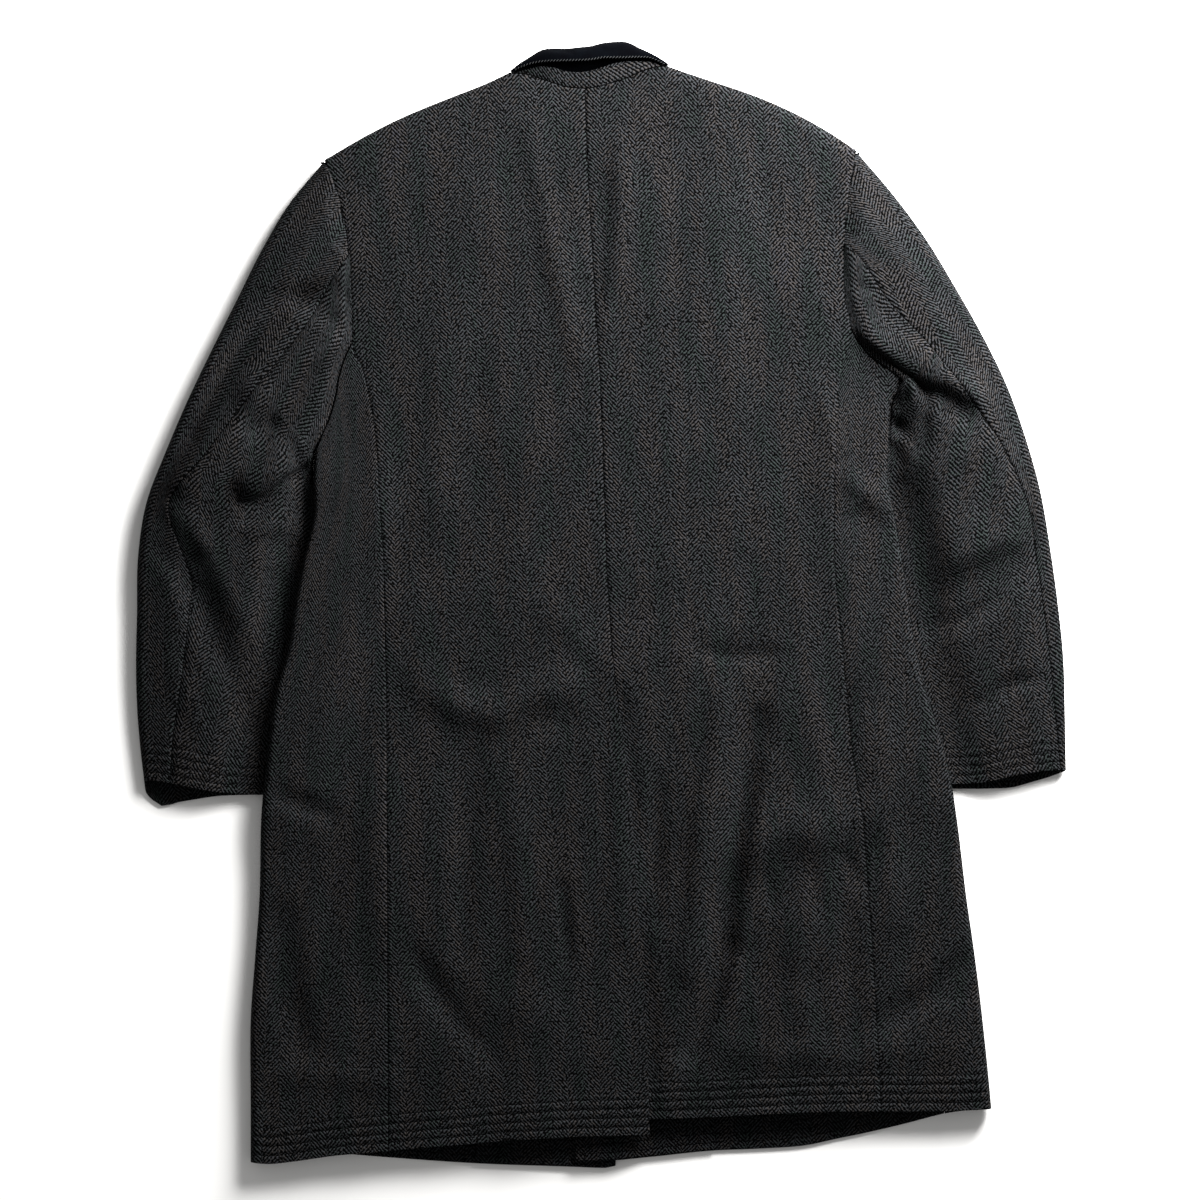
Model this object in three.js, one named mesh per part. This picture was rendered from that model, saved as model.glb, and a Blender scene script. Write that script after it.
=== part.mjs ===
// A herringbone overcoat with a velvet collar, lying face down: back on top, fronts on the floor.
import * as THREE from 'three';

// Sizes in millimetres. x runs across the coat, y runs towards the collar, z runs up from the floor.
const clothWall = 2.6;
const facingWall = 1.5;
const velvetWall = 2.2;
const standWall = 2;
const seamGap = 0.5;
const layerGap = 0.4;
const floorMid = clothWall / 2;
const sideReturn = 45;
const foldReach = 6;
const foreReach = 26;
const shoulderReach = 11;
const sleeveLift = 9.9;
const sleeveClear = 4.2;
const tipClear = 1.2;
const frontEdgeLeft = 14;
const frontEdgeRight = -25;
const breakHeight = 150;
const facingWidth = 134;
const underlap = 42;
const ventTop = -56;
const ventEase = 43;
const seamRows = 18;
const armRows = 4;
const turnSteps = [12, 5.5, 1.6, 0];
const arcColumns = 4;
const sideFlats = 5;

// The body by level: where its folds and seams run, and how far the back lies above the fronts.
const bodySections = [
  { y: -540, leftFold: -336, leftSeam: -203.4, centre: 48, rightSeam: 268, rightFold: 378, height: 15 },
  { y: -480, leftFold: -336, leftSeam: -203.7, centre: 46, rightSeam: 267.6, rightFold: 374, height: 16 },
  { y: -400, leftFold: -336, leftSeam: -204, centre: 43.4, rightSeam: 263.8, rightFold: 366, height: 17.5 },
  { y: -335, leftFold: -331.4, leftSeam: -204.3, centre: 38.6, rightSeam: 260, rightFold: 358, height: 18 },
  { y: -280, leftFold: -327.4, leftSeam: -204.5, centre: 34.4, rightSeam: 256, rightFold: 350, height: 18.5 },
  { y: -205, leftFold: -325.4, leftSeam: -205, centre: 29.6, rightSeam: 250, rightFold: 340.8, height: 19 },
  { y: -140, leftFold: -318.8, leftSeam: -205.2, centre: 23, rightSeam: 240.2, rightFold: 329, height: 19.5 },
  { y: -85, leftFold: -311.6, leftSeam: -205.5, centre: 15.4, rightSeam: 235, rightFold: 311.6, height: 20 },
  { y: -45, leftFold: -300, leftSeam: -206.4, centre: 10.7, rightSeam: 231, rightFold: 302, height: 20.5 },
  { y: 0, leftFold: -293, leftSeam: -207.4, centre: 7.5, rightSeam: 226.4, rightFold: 294.8, height: 21 },
  { y: 45, leftFold: -283.8, leftSeam: -208.3, centre: 4.8, rightSeam: 222.8, rightFold: 288, height: 21.5 },
  { y: 85, leftFold: -274.6, leftSeam: -211, centre: 3.6, rightSeam: 222.7, rightFold: 281, height: 22 },
  { y: 120, leftFold: -275, leftSeam: -213, centre: 2.4, rightSeam: 222.7, rightFold: 274, height: 22.5 },
  { y: 150, leftFold: -272.6, leftSeam: -214.8, centre: 1.6, rightSeam: 224.6, rightFold: 275.2, height: 23 },
  { y: 190, leftFold: -266, leftSeam: -220, centre: -0.2, rightSeam: 226.4, rightFold: 276.6, height: 23.5 },
  { y: 215, leftFold: -262, leftSeam: -225.4, centre: -1, rightSeam: 228.2, rightFold: 286, height: 24 },
  { y: 264, leftFold: -262, leftSeam: -238, centre: -4, rightSeam: 239, rightFold: 286, height: 24 },
  { y: 322, leftFold: -262, leftSeam: -238, centre: -7.7, rightSeam: 239, rightFold: 286, height: 24 },
  { y: 408, leftFold: -262, leftSeam: -238, centre: -12.5, rightSeam: 239, rightFold: 286, height: 24 },
  { y: 470, leftFold: -262, leftSeam: -238, centre: -15, rightSeam: 239, rightFold: 286, height: 23 },
  { y: 520, leftFold: -262, leftSeam: -238, centre: -16, rightSeam: 239, rightFold: 286, height: 20 },
];

// Where the body's floor side is raised over the tucked part of each sleeve.
const sleeveUnder = [
  { y: -240, left: 0, right: 0 },
  { y: -192, left: 1, right: 1 },
  { y: 100, left: 1, right: 1 },
  { y: 112, left: 0.95, right: 1 },
  { y: 146, left: 0, right: 1 },
  { y: 172, left: 0, right: 0.95 },
  { y: 212, left: 0, right: 0 },
];

// Hem levels of the back and of the front below it, along x.
const hemLevels = [
  { x: -336, leftBack: -534, leftFront: -534, rightBack: -494, rightFront: -535 },
  { x: -318, leftBack: -535.4, leftFront: -534, rightBack: -494, rightFront: -535 },
  { x: -294, leftBack: -533, leftFront: -530, rightBack: -494, rightFront: -535 },
  { x: -255, leftBack: -527.4, leftFront: -527, rightBack: -494, rightFront: -535 },
  { x: -215, leftBack: -524, leftFront: -529.6, rightBack: -494, rightFront: -535 },
  { x: -180, leftBack: -520.4, leftFront: -532.2, rightBack: -494, rightFront: -535 },
  { x: -130, leftBack: -516.4, leftFront: -535.6, rightBack: -494, rightFront: -535 },
  { x: -92, leftBack: -512.8, leftFront: -537.4, rightBack: -494, rightFront: -535 },
  { x: -54, leftBack: -510.6, leftFront: -538.6, rightBack: -494, rightFront: -535 },
  { x: -24, leftBack: -509, leftFront: -539.6, rightBack: -494, rightFront: -534.6 },
  { x: 6, leftBack: -508.4, leftFront: -540.6, rightBack: -494, rightFront: -533.2 },
  { x: 14, leftBack: -508.2, leftFront: -538.6, rightBack: -493.8, rightFront: -532.8 },
  { x: 50, leftBack: -507, leftFront: -538.6, rightBack: -492.4, rightFront: -529.8 },
  { x: 104, leftBack: -507, leftFront: -538.6, rightBack: -490.4, rightFront: -524.2 },
  { x: 150, leftBack: -507, leftFront: -538.6, rightBack: -488, rightFront: -522.2 },
  { x: 195, leftBack: -507, leftFront: -538.6, rightBack: -486, rightFront: -519.2 },
  { x: 226, leftBack: -507, leftFront: -538.6, rightBack: -485.2, rightFront: -512.6 },
  { x: 250, leftBack: -507, leftFront: -538.6, rightBack: -484.8, rightFront: -507.8 },
  { x: 288, leftBack: -507, leftFront: -538.6, rightBack: -484.8, rightFront: -499 },
  { x: 332, leftBack: -507, leftFront: -538.6, rightBack: -484.6, rightFront: -488 },
  { x: 374, leftBack: -507, leftFront: -538.6, rightBack: -483, rightFront: -483 },
];

// Lines that the panels share, from their outer ends inwards.
const lines = {
  left: {
    shoulder: [[-264, 426], [-229.4, 446.4], [-192, 465.6], [-146, 484.8], [-116.2, 496.3], [-90.2, 507.6]],
    neck: [[-90.2, 507.6], [-72.3, 507], [-54, 501], [-33, 494.6], [-15.4, 493]],
    backArm: [[-264, 426], [-250.4, 388.6], [-244.6, 362], [-241, 335], [-238.8, 302], [-238.4, 274],
      [-238, 250]],
    sideArm: [[-238, 250], [-245.4, 234], [-250.8, 216], [-253.6, 198.6], [-259.4, 178.6], [-267, 161],
      [-272.6, 147]],
    frontArm: [[-264, 426], [-240, 395], [-224, 345], [-217, 290], [-219, 240], [-228, 196]],
    underArm: [[-228, 196], [-244, 174], [-260, 157], [-272.6, 147]],
    armpit: [-272.6, 147],
    outer: [[-264, 426], [-298, 385], [-325, 340], [-349, 292], [-373, 244], [-396, 196], [-417, 147], [-436, 97],
      [-444, 45], [-445, -9], [-446, -62], [-444, -115], [-438, -168]],
    hind: [[-241, 335], [-258, 309], [-275.5, 276.5], [-298.6, 244.8], [-337, 196.8], [-375, 147], [-413, 98],
      [-411, 76], [-400, 46], [-392, 20], [-395.5, -18], [-402, -74], [-410, -124], [-413, -170.4]],
    inner: [[-276.8, 147], [-280.4, 122], [-279, 98], [-271, 70], [-262, 42], [-258, 12], [-259, -17], [-263, -46],
      [-269, -74], [-280, -130], [-289, -184]],
    hindAtPit: 0.27,
  },
  right: {
    shoulder: [[243.8, 435], [227.5, 446.4], [195, 465.6], [153.6, 484.8], [98, 504], [64.3, 515]],
    neck: [[64.3, 515], [50, 513], [38, 509.2], [26, 503.6], [9.6, 498.2], [-4.8, 494.4], [-15.4, 493]],
    backArm: [[243.8, 435], [240, 417.6], [236.2, 393.6], [233.3, 369.6], [232, 335], [232.2, 300], [239, 264]],
    sideArm: [[239, 264], [246.7, 250.6], [254.4, 240], [265, 231.4], [277.4, 222.7], [286, 215]],
    frontArm: [[243.8, 435], [226, 405], [215, 365], [214, 325], [224, 288], [241, 257]],
    underArm: [[241, 257], [256, 238], [272, 224], [286, 215]],
    armpit: [286, 215],
    outer: [[243.8, 435], [279, 394], [311, 351], [339, 305], [365, 259], [389, 210], [407, 160], [421, 110],
      [430.6, 55], [438, 2], [443.4, -51], [445, -105], [446, -158]],
    hind: [[232, 347], [248, 330], [262, 309], [277, 287], [306, 256], [335, 221], [364, 182], [388, 144], [409, 93],
      [416.6, 46.6], [427, -28], [435, -98], [440.4, -157.6]],
    inner: [[290.2, 213.4], [284, 192], [280, 163], [274, 132], [262, 100], [256, 68], [256, 36], [259, 4],
      [263, -28], [277, -100], [297, -172]],
    hindAtPit: 0.247,
  },
};

// Depths of a sleeve from the armpit to the cuff, and how much of it is pressed flat under the body.
const sleeveSections = [
  { share: 0, inner: 20, crown: 27, outer: 19, tuck: 0 },
  { share: 0.083, inner: 12, crown: 28, outer: 19, tuck: 0 },
  { share: 0.167, inner: 5.8, crown: 29, outer: 18.5, tuck: 6 },
  { share: 0.25, inner: 5.6, crown: 28, outer: 18, tuck: 13 },
  { share: 0.333, inner: 5.6, crown: 26, outer: 17, tuck: 27 },
  { share: 0.417, inner: 5.6, crown: 25, outer: 16, tuck: 39 },
  { share: 0.5, inner: 5.6, crown: 24, outer: 15, tuck: 43 },
  { share: 0.667, inner: 5.6, crown: 20, outer: 13, tuck: 46 },
  { share: 0.833, inner: 5.6, crown: 16, outer: 11, tuck: 46 },
  { share: 1, inner: 5.6, crown: 14, outer: 9, tuck: 45 },
];
const outerAtPit = 0.305;
const pitRow = 12;
const cuffRow = 24;
const foreRow = 9;
const hindRow = 4;
const tipStep = 3.4;

// Cuff edges along x: the layer on top, and the layer on the floor.
const cuffLevels = {
  left: [
    { x: -440, top: -170, floor: -176 },
    { x: -432, top: -168.4, floor: -186 },
    { x: -420, top: -169.6, floor: -193.6 },
    { x: -409, top: -171.4, floor: -190.4 },
    { x: -390, top: -175.4, floor: -187 },
    { x: -366, top: -179.6, floor: -183.6 },
    { x: -325, top: -182.4, floor: -182.6 },
    { x: -289, top: -184, floor: -184 },
  ],
  right: [
    { x: 297, top: -172, floor: -176 },
    { x: 337, top: -171.8, floor: -176.6 },
    { x: 360, top: -171, floor: -176.8 },
    { x: 378, top: -167.8, floor: -176.4 },
    { x: 394, top: -164, floor: -175.6 },
    { x: 411, top: -161, floor: -171 },
    { x: 430, top: -158.8, floor: -165.4 },
    { x: 446, top: -158.4, floor: -159.6 },
  ],
};

// Folds that stand up (depth over 0) or sink (under 0), from one end to the other.
const backFolds = [
  { name: 'drag from the left of the vent', x1: -164, y1: -72, x2: -39, y2: -112, depth: -2.2, reach: 26 },
  { name: 'long fall right of the vent', x1: 150, y1: -120, x2: 126, y2: -330, depth: -3.6, reach: 26 },
  { name: 'foot of that fall', x1: 126, y1: -330, x2: 86, y2: -424, depth: -3, reach: 24 },
  { name: 'swell beside it', x1: 206, y1: -190, x2: 200, y2: -330, depth: 2.4, reach: 34 },
  { name: 'dip beside the vent', x1: 62, y1: -186, x2: 52, y2: -262, depth: -2, reach: 20 },
  { name: 'low drag on the left', x1: -164, y1: -360, x2: -106, y2: -410, depth: -2, reach: 26 },
  { name: 'left hem swell', x1: -60, y1: -400, x2: -70, y2: -500, depth: 2.6, reach: 44 },
  { name: 'drag over the right hip', x1: 95, y1: -40, x2: 154, y2: -48, depth: -1.6, reach: 24 },
  { name: 'neck dip', x1: -2, y1: 400, x2: 0, y2: 292, depth: -2.2, reach: 30 },
  { name: 'waist crease', x1: 6, y1: 78, x2: 170, y2: 76, depth: -1.2, reach: 22 },
  { name: 'left shoulder blade', x1: -120, y1: 360, x2: -110, y2: 260, depth: 1.6, reach: 60 },
  { name: 'right shoulder blade', x1: 110, y1: 360, x2: 105, y2: 260, depth: 1.8, reach: 60 },
];
const sleeveFolds = {
  left: [
    { name: 'roll from the armhole', x1: -262, y1: 252, x2: -330, y2: 205, depth: 5, reach: 26 },
    { name: 'lower end of the roll', x1: -330, y1: 205, x2: -400, y2: 120, depth: 3.4, reach: 24 },
    { name: 'dip above the roll', x1: -286, y1: 292, x2: -262, y2: 276, depth: -4, reach: 20 },
    { name: 'pocket under the roll', x1: -330, y1: 168, x2: -318, y2: 172, depth: -6, reach: 18 },
    { name: 'bulge beside the body', x1: -300, y1: 140, x2: -334, y2: 118, depth: 6, reach: 18 },
    { name: 'hollow below the bulge', x1: -306, y1: 96, x2: -336, y2: 84, depth: -5, reach: 18 },
    { name: 'elbow dip', x1: -420, y1: 78, x2: -392, y2: 48, depth: -4, reach: 18 },
    { name: 'long drag to the cuff', x1: -384, y1: 40, x2: -330, y2: -90, depth: -4, reach: 22 },
  ],
  right: [
    { name: 'edge that overhangs the armpit', x1: 262, y1: 262, x2: 352, y2: 206, depth: 5, reach: 22 },
    { name: 'deep crease under it', x1: 284, y1: 234, x2: 350, y2: 180, depth: -6, reach: 19 },
    { name: 'loop beside the body', x1: 300, y1: 200, x2: 302, y2: 186, depth: 4, reach: 14 },
    { name: 'drag above the elbow', x1: 392, y1: 44, x2: 318, y2: -4, depth: -5, reach: 22 },
    { name: 'lit roll above the drag', x1: 352, y1: 72, x2: 334, y2: 56, depth: 4, reach: 26 },
    { name: 'short crease near the cuff', x1: 384, y1: -76, x2: 424, y2: -72, depth: -2, reach: 14 },
  ],
};

// The collar across the neck: neckline, where the stand rolls under, the fall's free edge and its outer turn.
const collarSections = [
  { x: -79, neck: 507.4, roll: 510.2, edge: 514.4, outline: 517.6, depth: 11 },
  { x: -68, neck: 505.8, roll: 513, edge: 518, outline: 524.6, depth: 14 },
  { x: -57, neck: 502.2, roll: 515, edge: 519.6, outline: 531, depth: 17 },
  { x: -45, neck: 497.8, roll: 513.2, edge: 520, outline: 532.6, depth: 20 },
  { x: -34, neck: 494.8, roll: 509.8, edge: 520.2, outline: 532.2, depth: 21 },
  { x: -22, neck: 493.4, roll: 508.8, edge: 520.4, outline: 533.4, depth: 21.6 },
  { x: -10, neck: 493.8, roll: 510.2, edge: 521, outline: 534.6, depth: 21.6 },
  { x: 2, neck: 496, roll: 514, edge: 523, outline: 537.6, depth: 21 },
  { x: 14, neck: 499.8, roll: 517.8, edge: 523.2, outline: 538.8, depth: 20 },
  { x: 25, neck: 503.4, roll: 519.4, edge: 523.4, outline: 538.4, depth: 18.6 },
  { x: 37, neck: 508.8, roll: 519.8, edge: 524, outline: 532.8, depth: 16.6 },
  { x: 47, neck: 512, roll: 519.4, edge: 523.8, outline: 528.4, depth: 14 },
  { x: 57, neck: 514.2, roll: 516.8, edge: 520, outline: 523, depth: 11.4 },
];

const clamp = (value) => Math.min(1, Math.max(0, value));
const mix = (a, b, share) => a + (b - a) * share;
const mixPoint = (a, b, share) => [mix(a[0], b[0], share), mix(a[1], b[1], share)];
const ease = (value) => clamp(value) ** 2 * (3 - 2 * clamp(value));
const steps = (count) => Array.from({ length: count + 1 }, (unused, i) => i / count);
const apart = (a, b) => Math.hypot(a[0] - b[0], a[1] - b[1]);

// The value of one column of a table where its key column has the given value.
function lookUp(table, key, at, column) {
  const last = table.length - 1;
  if (at <= table[0][key]) return table[0][column];
  if (at >= table[last][key]) return table[last][column];
  const next = table.findIndex((row) => row[key] > at);
  const from = table[next - 1];
  const to = table[next];
  return mix(from[column], to[column], (at - from[key]) / (to[key] - from[key]));
}
const body = (y, column) => lookUp(bodySections, 'y', y, column);

// Points at the given shares of the length of a smooth line.
function along(points, shares) {
  const curve = new THREE.CatmullRomCurve3(points.map(([x, y]) => new THREE.Vector3(x, y, 0)), false, 'centripetal');
  return shares.map((share) => {
    const point = curve.getPointAt(clamp(share));
    return [point.x, point.y];
  });
}

// A row of points moved sideways, to the left of its direction where the distance is over 0.
function moved(points, distance) {
  return points.map((point, i) => {
    const before = points[Math.max(0, i - 1)];
    const after = points[Math.min(points.length - 1, i + 1)];
    const length = apart(before, after) || 1;
    const by = typeof distance === 'function' ? distance(point, i) : distance;
    return [point[0] - ((after[1] - before[1]) / length) * by, point[1] + ((after[0] - before[0]) / length) * by];
  });
}

// Shares of a width, counted from a fold: close together round the turn, even beyond it.
function fromFold(width, flatColumns, reach = foldReach) {
  const turn = steps(arcColumns).map((share) => (reach * (1 - Math.cos((share * Math.PI) / 2))) / width);
  const flat = steps(flatColumns).slice(1).map((share) => mix(reach / width, 1, share));
  return [...turn, ...flat];
}

// A net of points between four edges. Each row may have its own shares across.
function net(left, right, bottom, top, across) {
  const last = left.length - 1;
  const shares = (k) => (typeof across === 'function' ? across(k) : across);
  return left.map((from, k) => {
    const v = k / last;
    const row = shares(k);
    return row.map((u, j) => {
      const plain = mixPoint(from, right[k], u);
      const edge = mixPoint(bottom[j], top[j], v);
      const low = mixPoint(left[0], right[0], shares(0)[j]);
      const high = mixPoint(left[last], right[last], shares(last)[j]);
      const chord = mixPoint(low, high, v);
      return [plain[0] + edge[0] - chord[0], plain[1] + edge[1] - chord[1]];
    });
  });
}

// Points of the net that lie on a fold's turn rise or sink to the half height there.
const turnShare = (distance, reach) => Math.sqrt(1 - (1 - clamp(distance / reach)) ** 2);

// How far a table of folds moves the cloth at a place.
function foldDepth(folds, x, y) {
  return folds.reduce((sum, fold) => {
    const dx = fold.x2 - fold.x1;
    const dy = fold.y2 - fold.y1;
    const share = clamp(((x - fold.x1) * dx + (y - fold.y1) * dy) / (dx * dx + dy * dy));
    const distance = Math.hypot(x - fold.x1 - share * dx, y - fold.y1 - share * dy);
    return sum + fold.depth * ease(1 - distance / fold.reach);
  }, 0);
}

const foldOf = (side) => (side === 'left' ? 'leftFold' : 'rightFold');
const seamOf = (side) => (side === 'left' ? 'leftSeam' : 'rightSeam');
const outward = { left: -1, right: 1 };

// Height of the floor side's middle: raised where a sleeve is tucked under the body.
function floorHeight(x, y) {
  const side = x < 0 ? 'left' : 'right';
  const inside = (body(y, foldOf(side)) - x) * outward[side];
  return floorMid + sleeveLift * lookUp(sleeveUnder, 'y', y, side) * ease((92 - inside) / 44);
}

// Height of the back's middle.
function backHeight(x, y) {
  const half = x < 0 ? body(y, 'leftFold') : body(y, 'rightFold');
  const share = clamp(x / half);
  const raised = floorHeight(x, y) - floorMid;
  return floorMid + body(y, 'height') * (1 - 0.12 * share * share) + 0.35 * raised + foldDepth(backFolds, x, y);
}

// The faces between the rows of a net, all turned upwards or all downwards.
function netFaces(rows, upwards) {
  const quads = rows.slice(1).flatMap((row, k) => (
    row.slice(1).map((point, j) => [rows[k][j], rows[k][j + 1], point, row[j]])
  ));
  const turned = quads.reduce((sum, [a, b, c, d]) => (
    sum + (c[0] - a[0]) * (d[1] - b[1]) - (c[1] - a[1]) * (d[0] - b[0])
  ), 0);
  return turned > 0 === upwards ? quads : quads.map((quad) => quad.reverse());
}

// The faces between rows of a sheet that turns over, all turned the same way.
const sheetFaces = (rows) => rows.slice(1).flatMap((row, k) => (
  row.slice(1).map((point, j) => [rows[k][j], row[j], point, rows[k][j + 1]])
));

// The wall round faces of middle points: both sides and the rims of every free edge, as one closed mesh.
function wall(name, faces, thickness) {
  const places = new Map();
  const points = [];
  const indexOf = (point) => {
    const key = point.map((value) => Math.round(value * 500)).join();
    if (!places.has(key)) {
      places.set(key, points.length);
      points.push(new THREE.Vector3(...point));
    }
    return places.get(key);
  };
  const polygons = faces
    .map((face) => face.map(indexOf).filter((index, i, all) => index !== all[(i + all.length - 1) % all.length]))
    .filter((face) => new Set(face).size > 2);
  const triangles = polygons.flatMap((face) => (
    face.length === 3 ? [face] : [[face[0], face[1], face[2]], [face[0], face[2], face[3]]]
  ));
  const normals = points.map(() => new THREE.Vector3());
  triangles.forEach(([a, b, c]) => {
    const normal = points[b].clone().sub(points[a]).cross(points[c].clone().sub(points[a]));
    [[a, b, c], [b, c, a], [c, a, b]].forEach(([corner, next, last]) => {
      const angle = points[next].clone().sub(points[corner]).angleTo(points[last].clone().sub(points[corner]));
      normals[corner].add(normal.clone().normalize().multiplyScalar(angle));
    });
  });
  const offset = normals.map((normal) => normal.normalize().multiplyScalar(thickness / 2));
  const outerSide = points.map((point, i) => point.clone().add(offset[i]));
  const innerSide = points.map((point, i) => point.clone().sub(offset[i]));
  const corners = [...outerSide, ...innerSide];
  const count = points.length;
  const edges = new Set(triangles.flatMap(([a, b, c]) => [`${a} ${b}`, `${b} ${c}`, `${c} ${a}`]));
  const rims = [...edges].map((edge) => edge.split(' ').map(Number)).filter(([a, b]) => !edges.has(`${b} ${a}`));
  const geometry = new THREE.BufferGeometry().setFromPoints(corners);
  geometry.setIndex([
    ...triangles.flat(),
    ...triangles.flatMap(([a, b, c]) => [a + count, c + count, b + count]),
    ...rims.flatMap(([a, b]) => [b, a, a + count, b, a + count, b + count]),
  ]);
  const mesh = new THREE.Mesh(geometry, new THREE.MeshStandardMaterial());
  mesh.name = name;
  return mesh;
}

// Row levels: even along the side seam, then up the armhole, then close together at the shoulder's turn.
const rowShares = (() => {
  const seamShare = 0.8;
  const turnShares = turnSteps.map((step) => 1 - step / 960);
  const arm = steps(armRows).slice(1, -1).map((share) => mix(seamShare, turnShares[0], share));
  return [...steps(seamRows).map((share) => share * seamShare), ...arm, ...turnShares];
})();
const armShares = rowShares.slice(seamRows).map((share) => (share - rowShares[seamRows]) / (1 - rowShares[seamRows]));

const hemPoint = (x, column) => [x, lookUp(hemLevels, 'x', x, column)];
const seamLine = (side, hem) => {
  const top = lines[side].sideArm[0][1];
  const x = body(-500, seamOf(side));
  const foot = lookUp(hemLevels, 'x', x, hem);
  return steps(seamRows).map((share) => {
    const y = mix(foot, top, share);
    return share === 1 ? lines[side].sideArm[0] : [body(y, seamOf(side)), y];
  });
};
const foldLine = (side) => {
  const foot = side === 'left' ? -534 : -483;
  return steps(seamRows).map((share) => {
    const y = mix(foot, lines[side].armpit[1], share);
    return [body(y, foldOf(side)) - outward[side] * floorMid, y];
  });
};
const floorSeamLine = (side) => {
  const top = lines[side].underArm[0];
  const x = body(-500, foldOf(side)) - outward[side] * sideReturn;
  const foot = lookUp(hemLevels, 'x', x, `${side}Front`);
  return steps(seamRows).map((share) => {
    const y = mix(foot, top[1], share);
    return share === 1 ? top : [mix(body(y, foldOf(side)) - outward[side] * sideReturn, top[0], share ** 12), y];
  });
};
const armholeBack = (side) => along([...lines[side].backArm].reverse(), armShares);
const armholeFront = (side) => along([...lines[side].frontArm].reverse(), armShares);
const sideTopShares = (side) => fromFold(apart(lines[side].armpit, lines[side].sideArm[0]) * 1.04, sideFlats);
const sideFloorShares = (side) => fromFold(apart(lines[side].armpit, lines[side].underArm[0]) * 1.02, sideFlats);
const armholeSideTop = (side) => along([...lines[side].sideArm].reverse(), sideTopShares(side));
const armholeSideFloor = (side) => along([...lines[side].underArm].reverse(), sideFloorShares(side));

// One half of the back, from the centre seam to the side-back seam and armhole.
function makeBack(side) {
  const way = outward[side];
  const neckColumns = 4;
  const shoulderColumns = 9;
  const columns = neckColumns + shoulderColumns;
  const hem = side === 'left' ? 'leftBack' : 'rightBack';
  const outer = [...seamLine(side, hem), ...armholeBack(side).slice(1)];
  const outerEdge = moved(outer, way * (seamGap / 2));
  const neck = along([...lines[side].neck].reverse(), steps(neckColumns));
  const shoulder = along([...lines[side].shoulder].reverse(), steps(shoulderColumns));
  const top = moved([...neck, ...shoulder.slice(1)], (point, i) => -way * (i > neckColumns ? floorMid : 0.3));
  const extra = (y) => (side === 'left' ? 0 : -underlap * ease((ventTop - ventEase - y) / ventEase));
  const foot = lookUp(hemLevels, 'x', side === 'left' ? 46 : 4, hem);
  const inner = rowShares.map((share) => {
    const y = mix(foot, neck[0][1], share);
    return [body(y, 'centre') + way * (seamGap / 2) + extra(y), y];
  });
  const sharesAt = (k) => {
    const width = apart(inner[k], outerEdge[k]);
    const lap = side === 'right' ? ease((ventTop + 60 - inner[k][1]) / 80) : 0;
    const beside = -extra(inner[k][1]);
    const even = steps(columns);
    const first = mix(even[1], (beside + 3) / width, lap);
    const second = mix(even[2], (beside + 21) / width, lap);
    return [0, first, second, ...steps(columns - 2).slice(1).map((share) => mix(second, 1, share))];
  };
  const bottom = sharesAt(0).map((share) => hemPoint(mix(inner[0][0], outerEdge[0][0], share), hem));
  bottom[0] = inner[0];
  bottom[columns] = outerEdge[0];
  top[0] = inner[rowShares.length - 1];
  top[columns] = outerEdge[outerEdge.length - 1];
  const grid = net(inner, outerEdge, bottom, top, sharesAt);
  const lapDrop = clothWall + layerGap + 0.3;
  const placed = grid.map((row) => row.map(([x, y], j) => {
    const below = apart([x, y], top[j]);
    const rounding = ease((j - neckColumns + 0.5) / 1.5);
    const share = mix(1, turnShare(below, shoulderReach), rounding);
    const full = backHeight(x, y);
    const middle = (full + floorMid) / 2 + 0.7;
    const lap = side === 'right'
      ? ease((ventTop - y) / ventEase) * ease((body(y, 'centre') + 17 - x) / 14)
      : 0;
    return [x, y, mix(middle, full, share) - lapDrop * lap];
  }));
  return wall(`back_${side}`, netFaces(placed, true), clothWall);
}

// A side body: from the side-back seam round the fold to the seam on the floor side.
function makeSide(side) {
  const way = outward[side];
  const hem = side === 'left' ? 'leftBack' : 'rightBack';
  const seam = moved(seamLine(side, hem), -way * (seamGap / 2));
  const fold = foldLine(side);
  const under = moved(floorSeamLine(side), -way * (seamGap / 2));
  const footTop = fromFold(apart(fold[0], seam[0]), sideFlats)
    .map((u) => hemPoint(mix(fold[0][0], seam[0][0], u), hem));
  const footFloor = fromFold(sideReturn, sideFlats)
    .map((u) => hemPoint(mix(fold[0][0], under[0][0], u), `${side}Front`));
  const headTop = moved(armholeSideTop(side), way * (seamGap / 2));
  const headFloor = moved(armholeSideFloor(side), way * (seamGap / 2));
  const ends = [
    [footTop, fold[0], seam[0]],
    [footFloor, fold[0], under[0]],
    [headTop, fold[seamRows], seam[seamRows]],
    [headFloor, fold[seamRows], under[seamRows]],
  ];
  ends.forEach(([edge, first, last]) => {
    edge[0] = first;
    edge[edge.length - 1] = last;
  });
  const topNet = net(fold, seam, footTop, headTop, (k) => fromFold(apart(fold[k], seam[k]), sideFlats));
  const floorNet = net(fold, under, footFloor, headFloor, (k) => fromFold(apart(fold[k], under[k]), sideFlats));
  const place = ([x, y], k, upper) => {
    const turn = turnShare(apart([x, y], fold[k]), foldReach);
    const high = backHeight(x, y);
    const low = floorHeight(x, y);
    return [x, y, mix((high + low) / 2, upper ? high : low, turn)];
  };
  const over = topNet.map((row, k) => row.map((point) => place(point, k, true)));
  const below = floorNet.map((row, k) => row.map((point) => place(point, k, false)));
  return wall(`side_${side}`, [...netFaces(over, true), ...netFaces(below, false)], clothWall);
}

// The front edge and, above the break, the roll line up to the neck.
function frontEdgeAt(side, y) {
  const [neckX, neckY] = lines[side].shoulder[lines[side].shoulder.length - 1];
  const rolled = ease((y - breakHeight) / 120) * ((y - breakHeight) / (neckY - breakHeight));
  return mix(side === 'left' ? frontEdgeLeft : frontEdgeRight, neckX, clamp(rolled));
}

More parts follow.
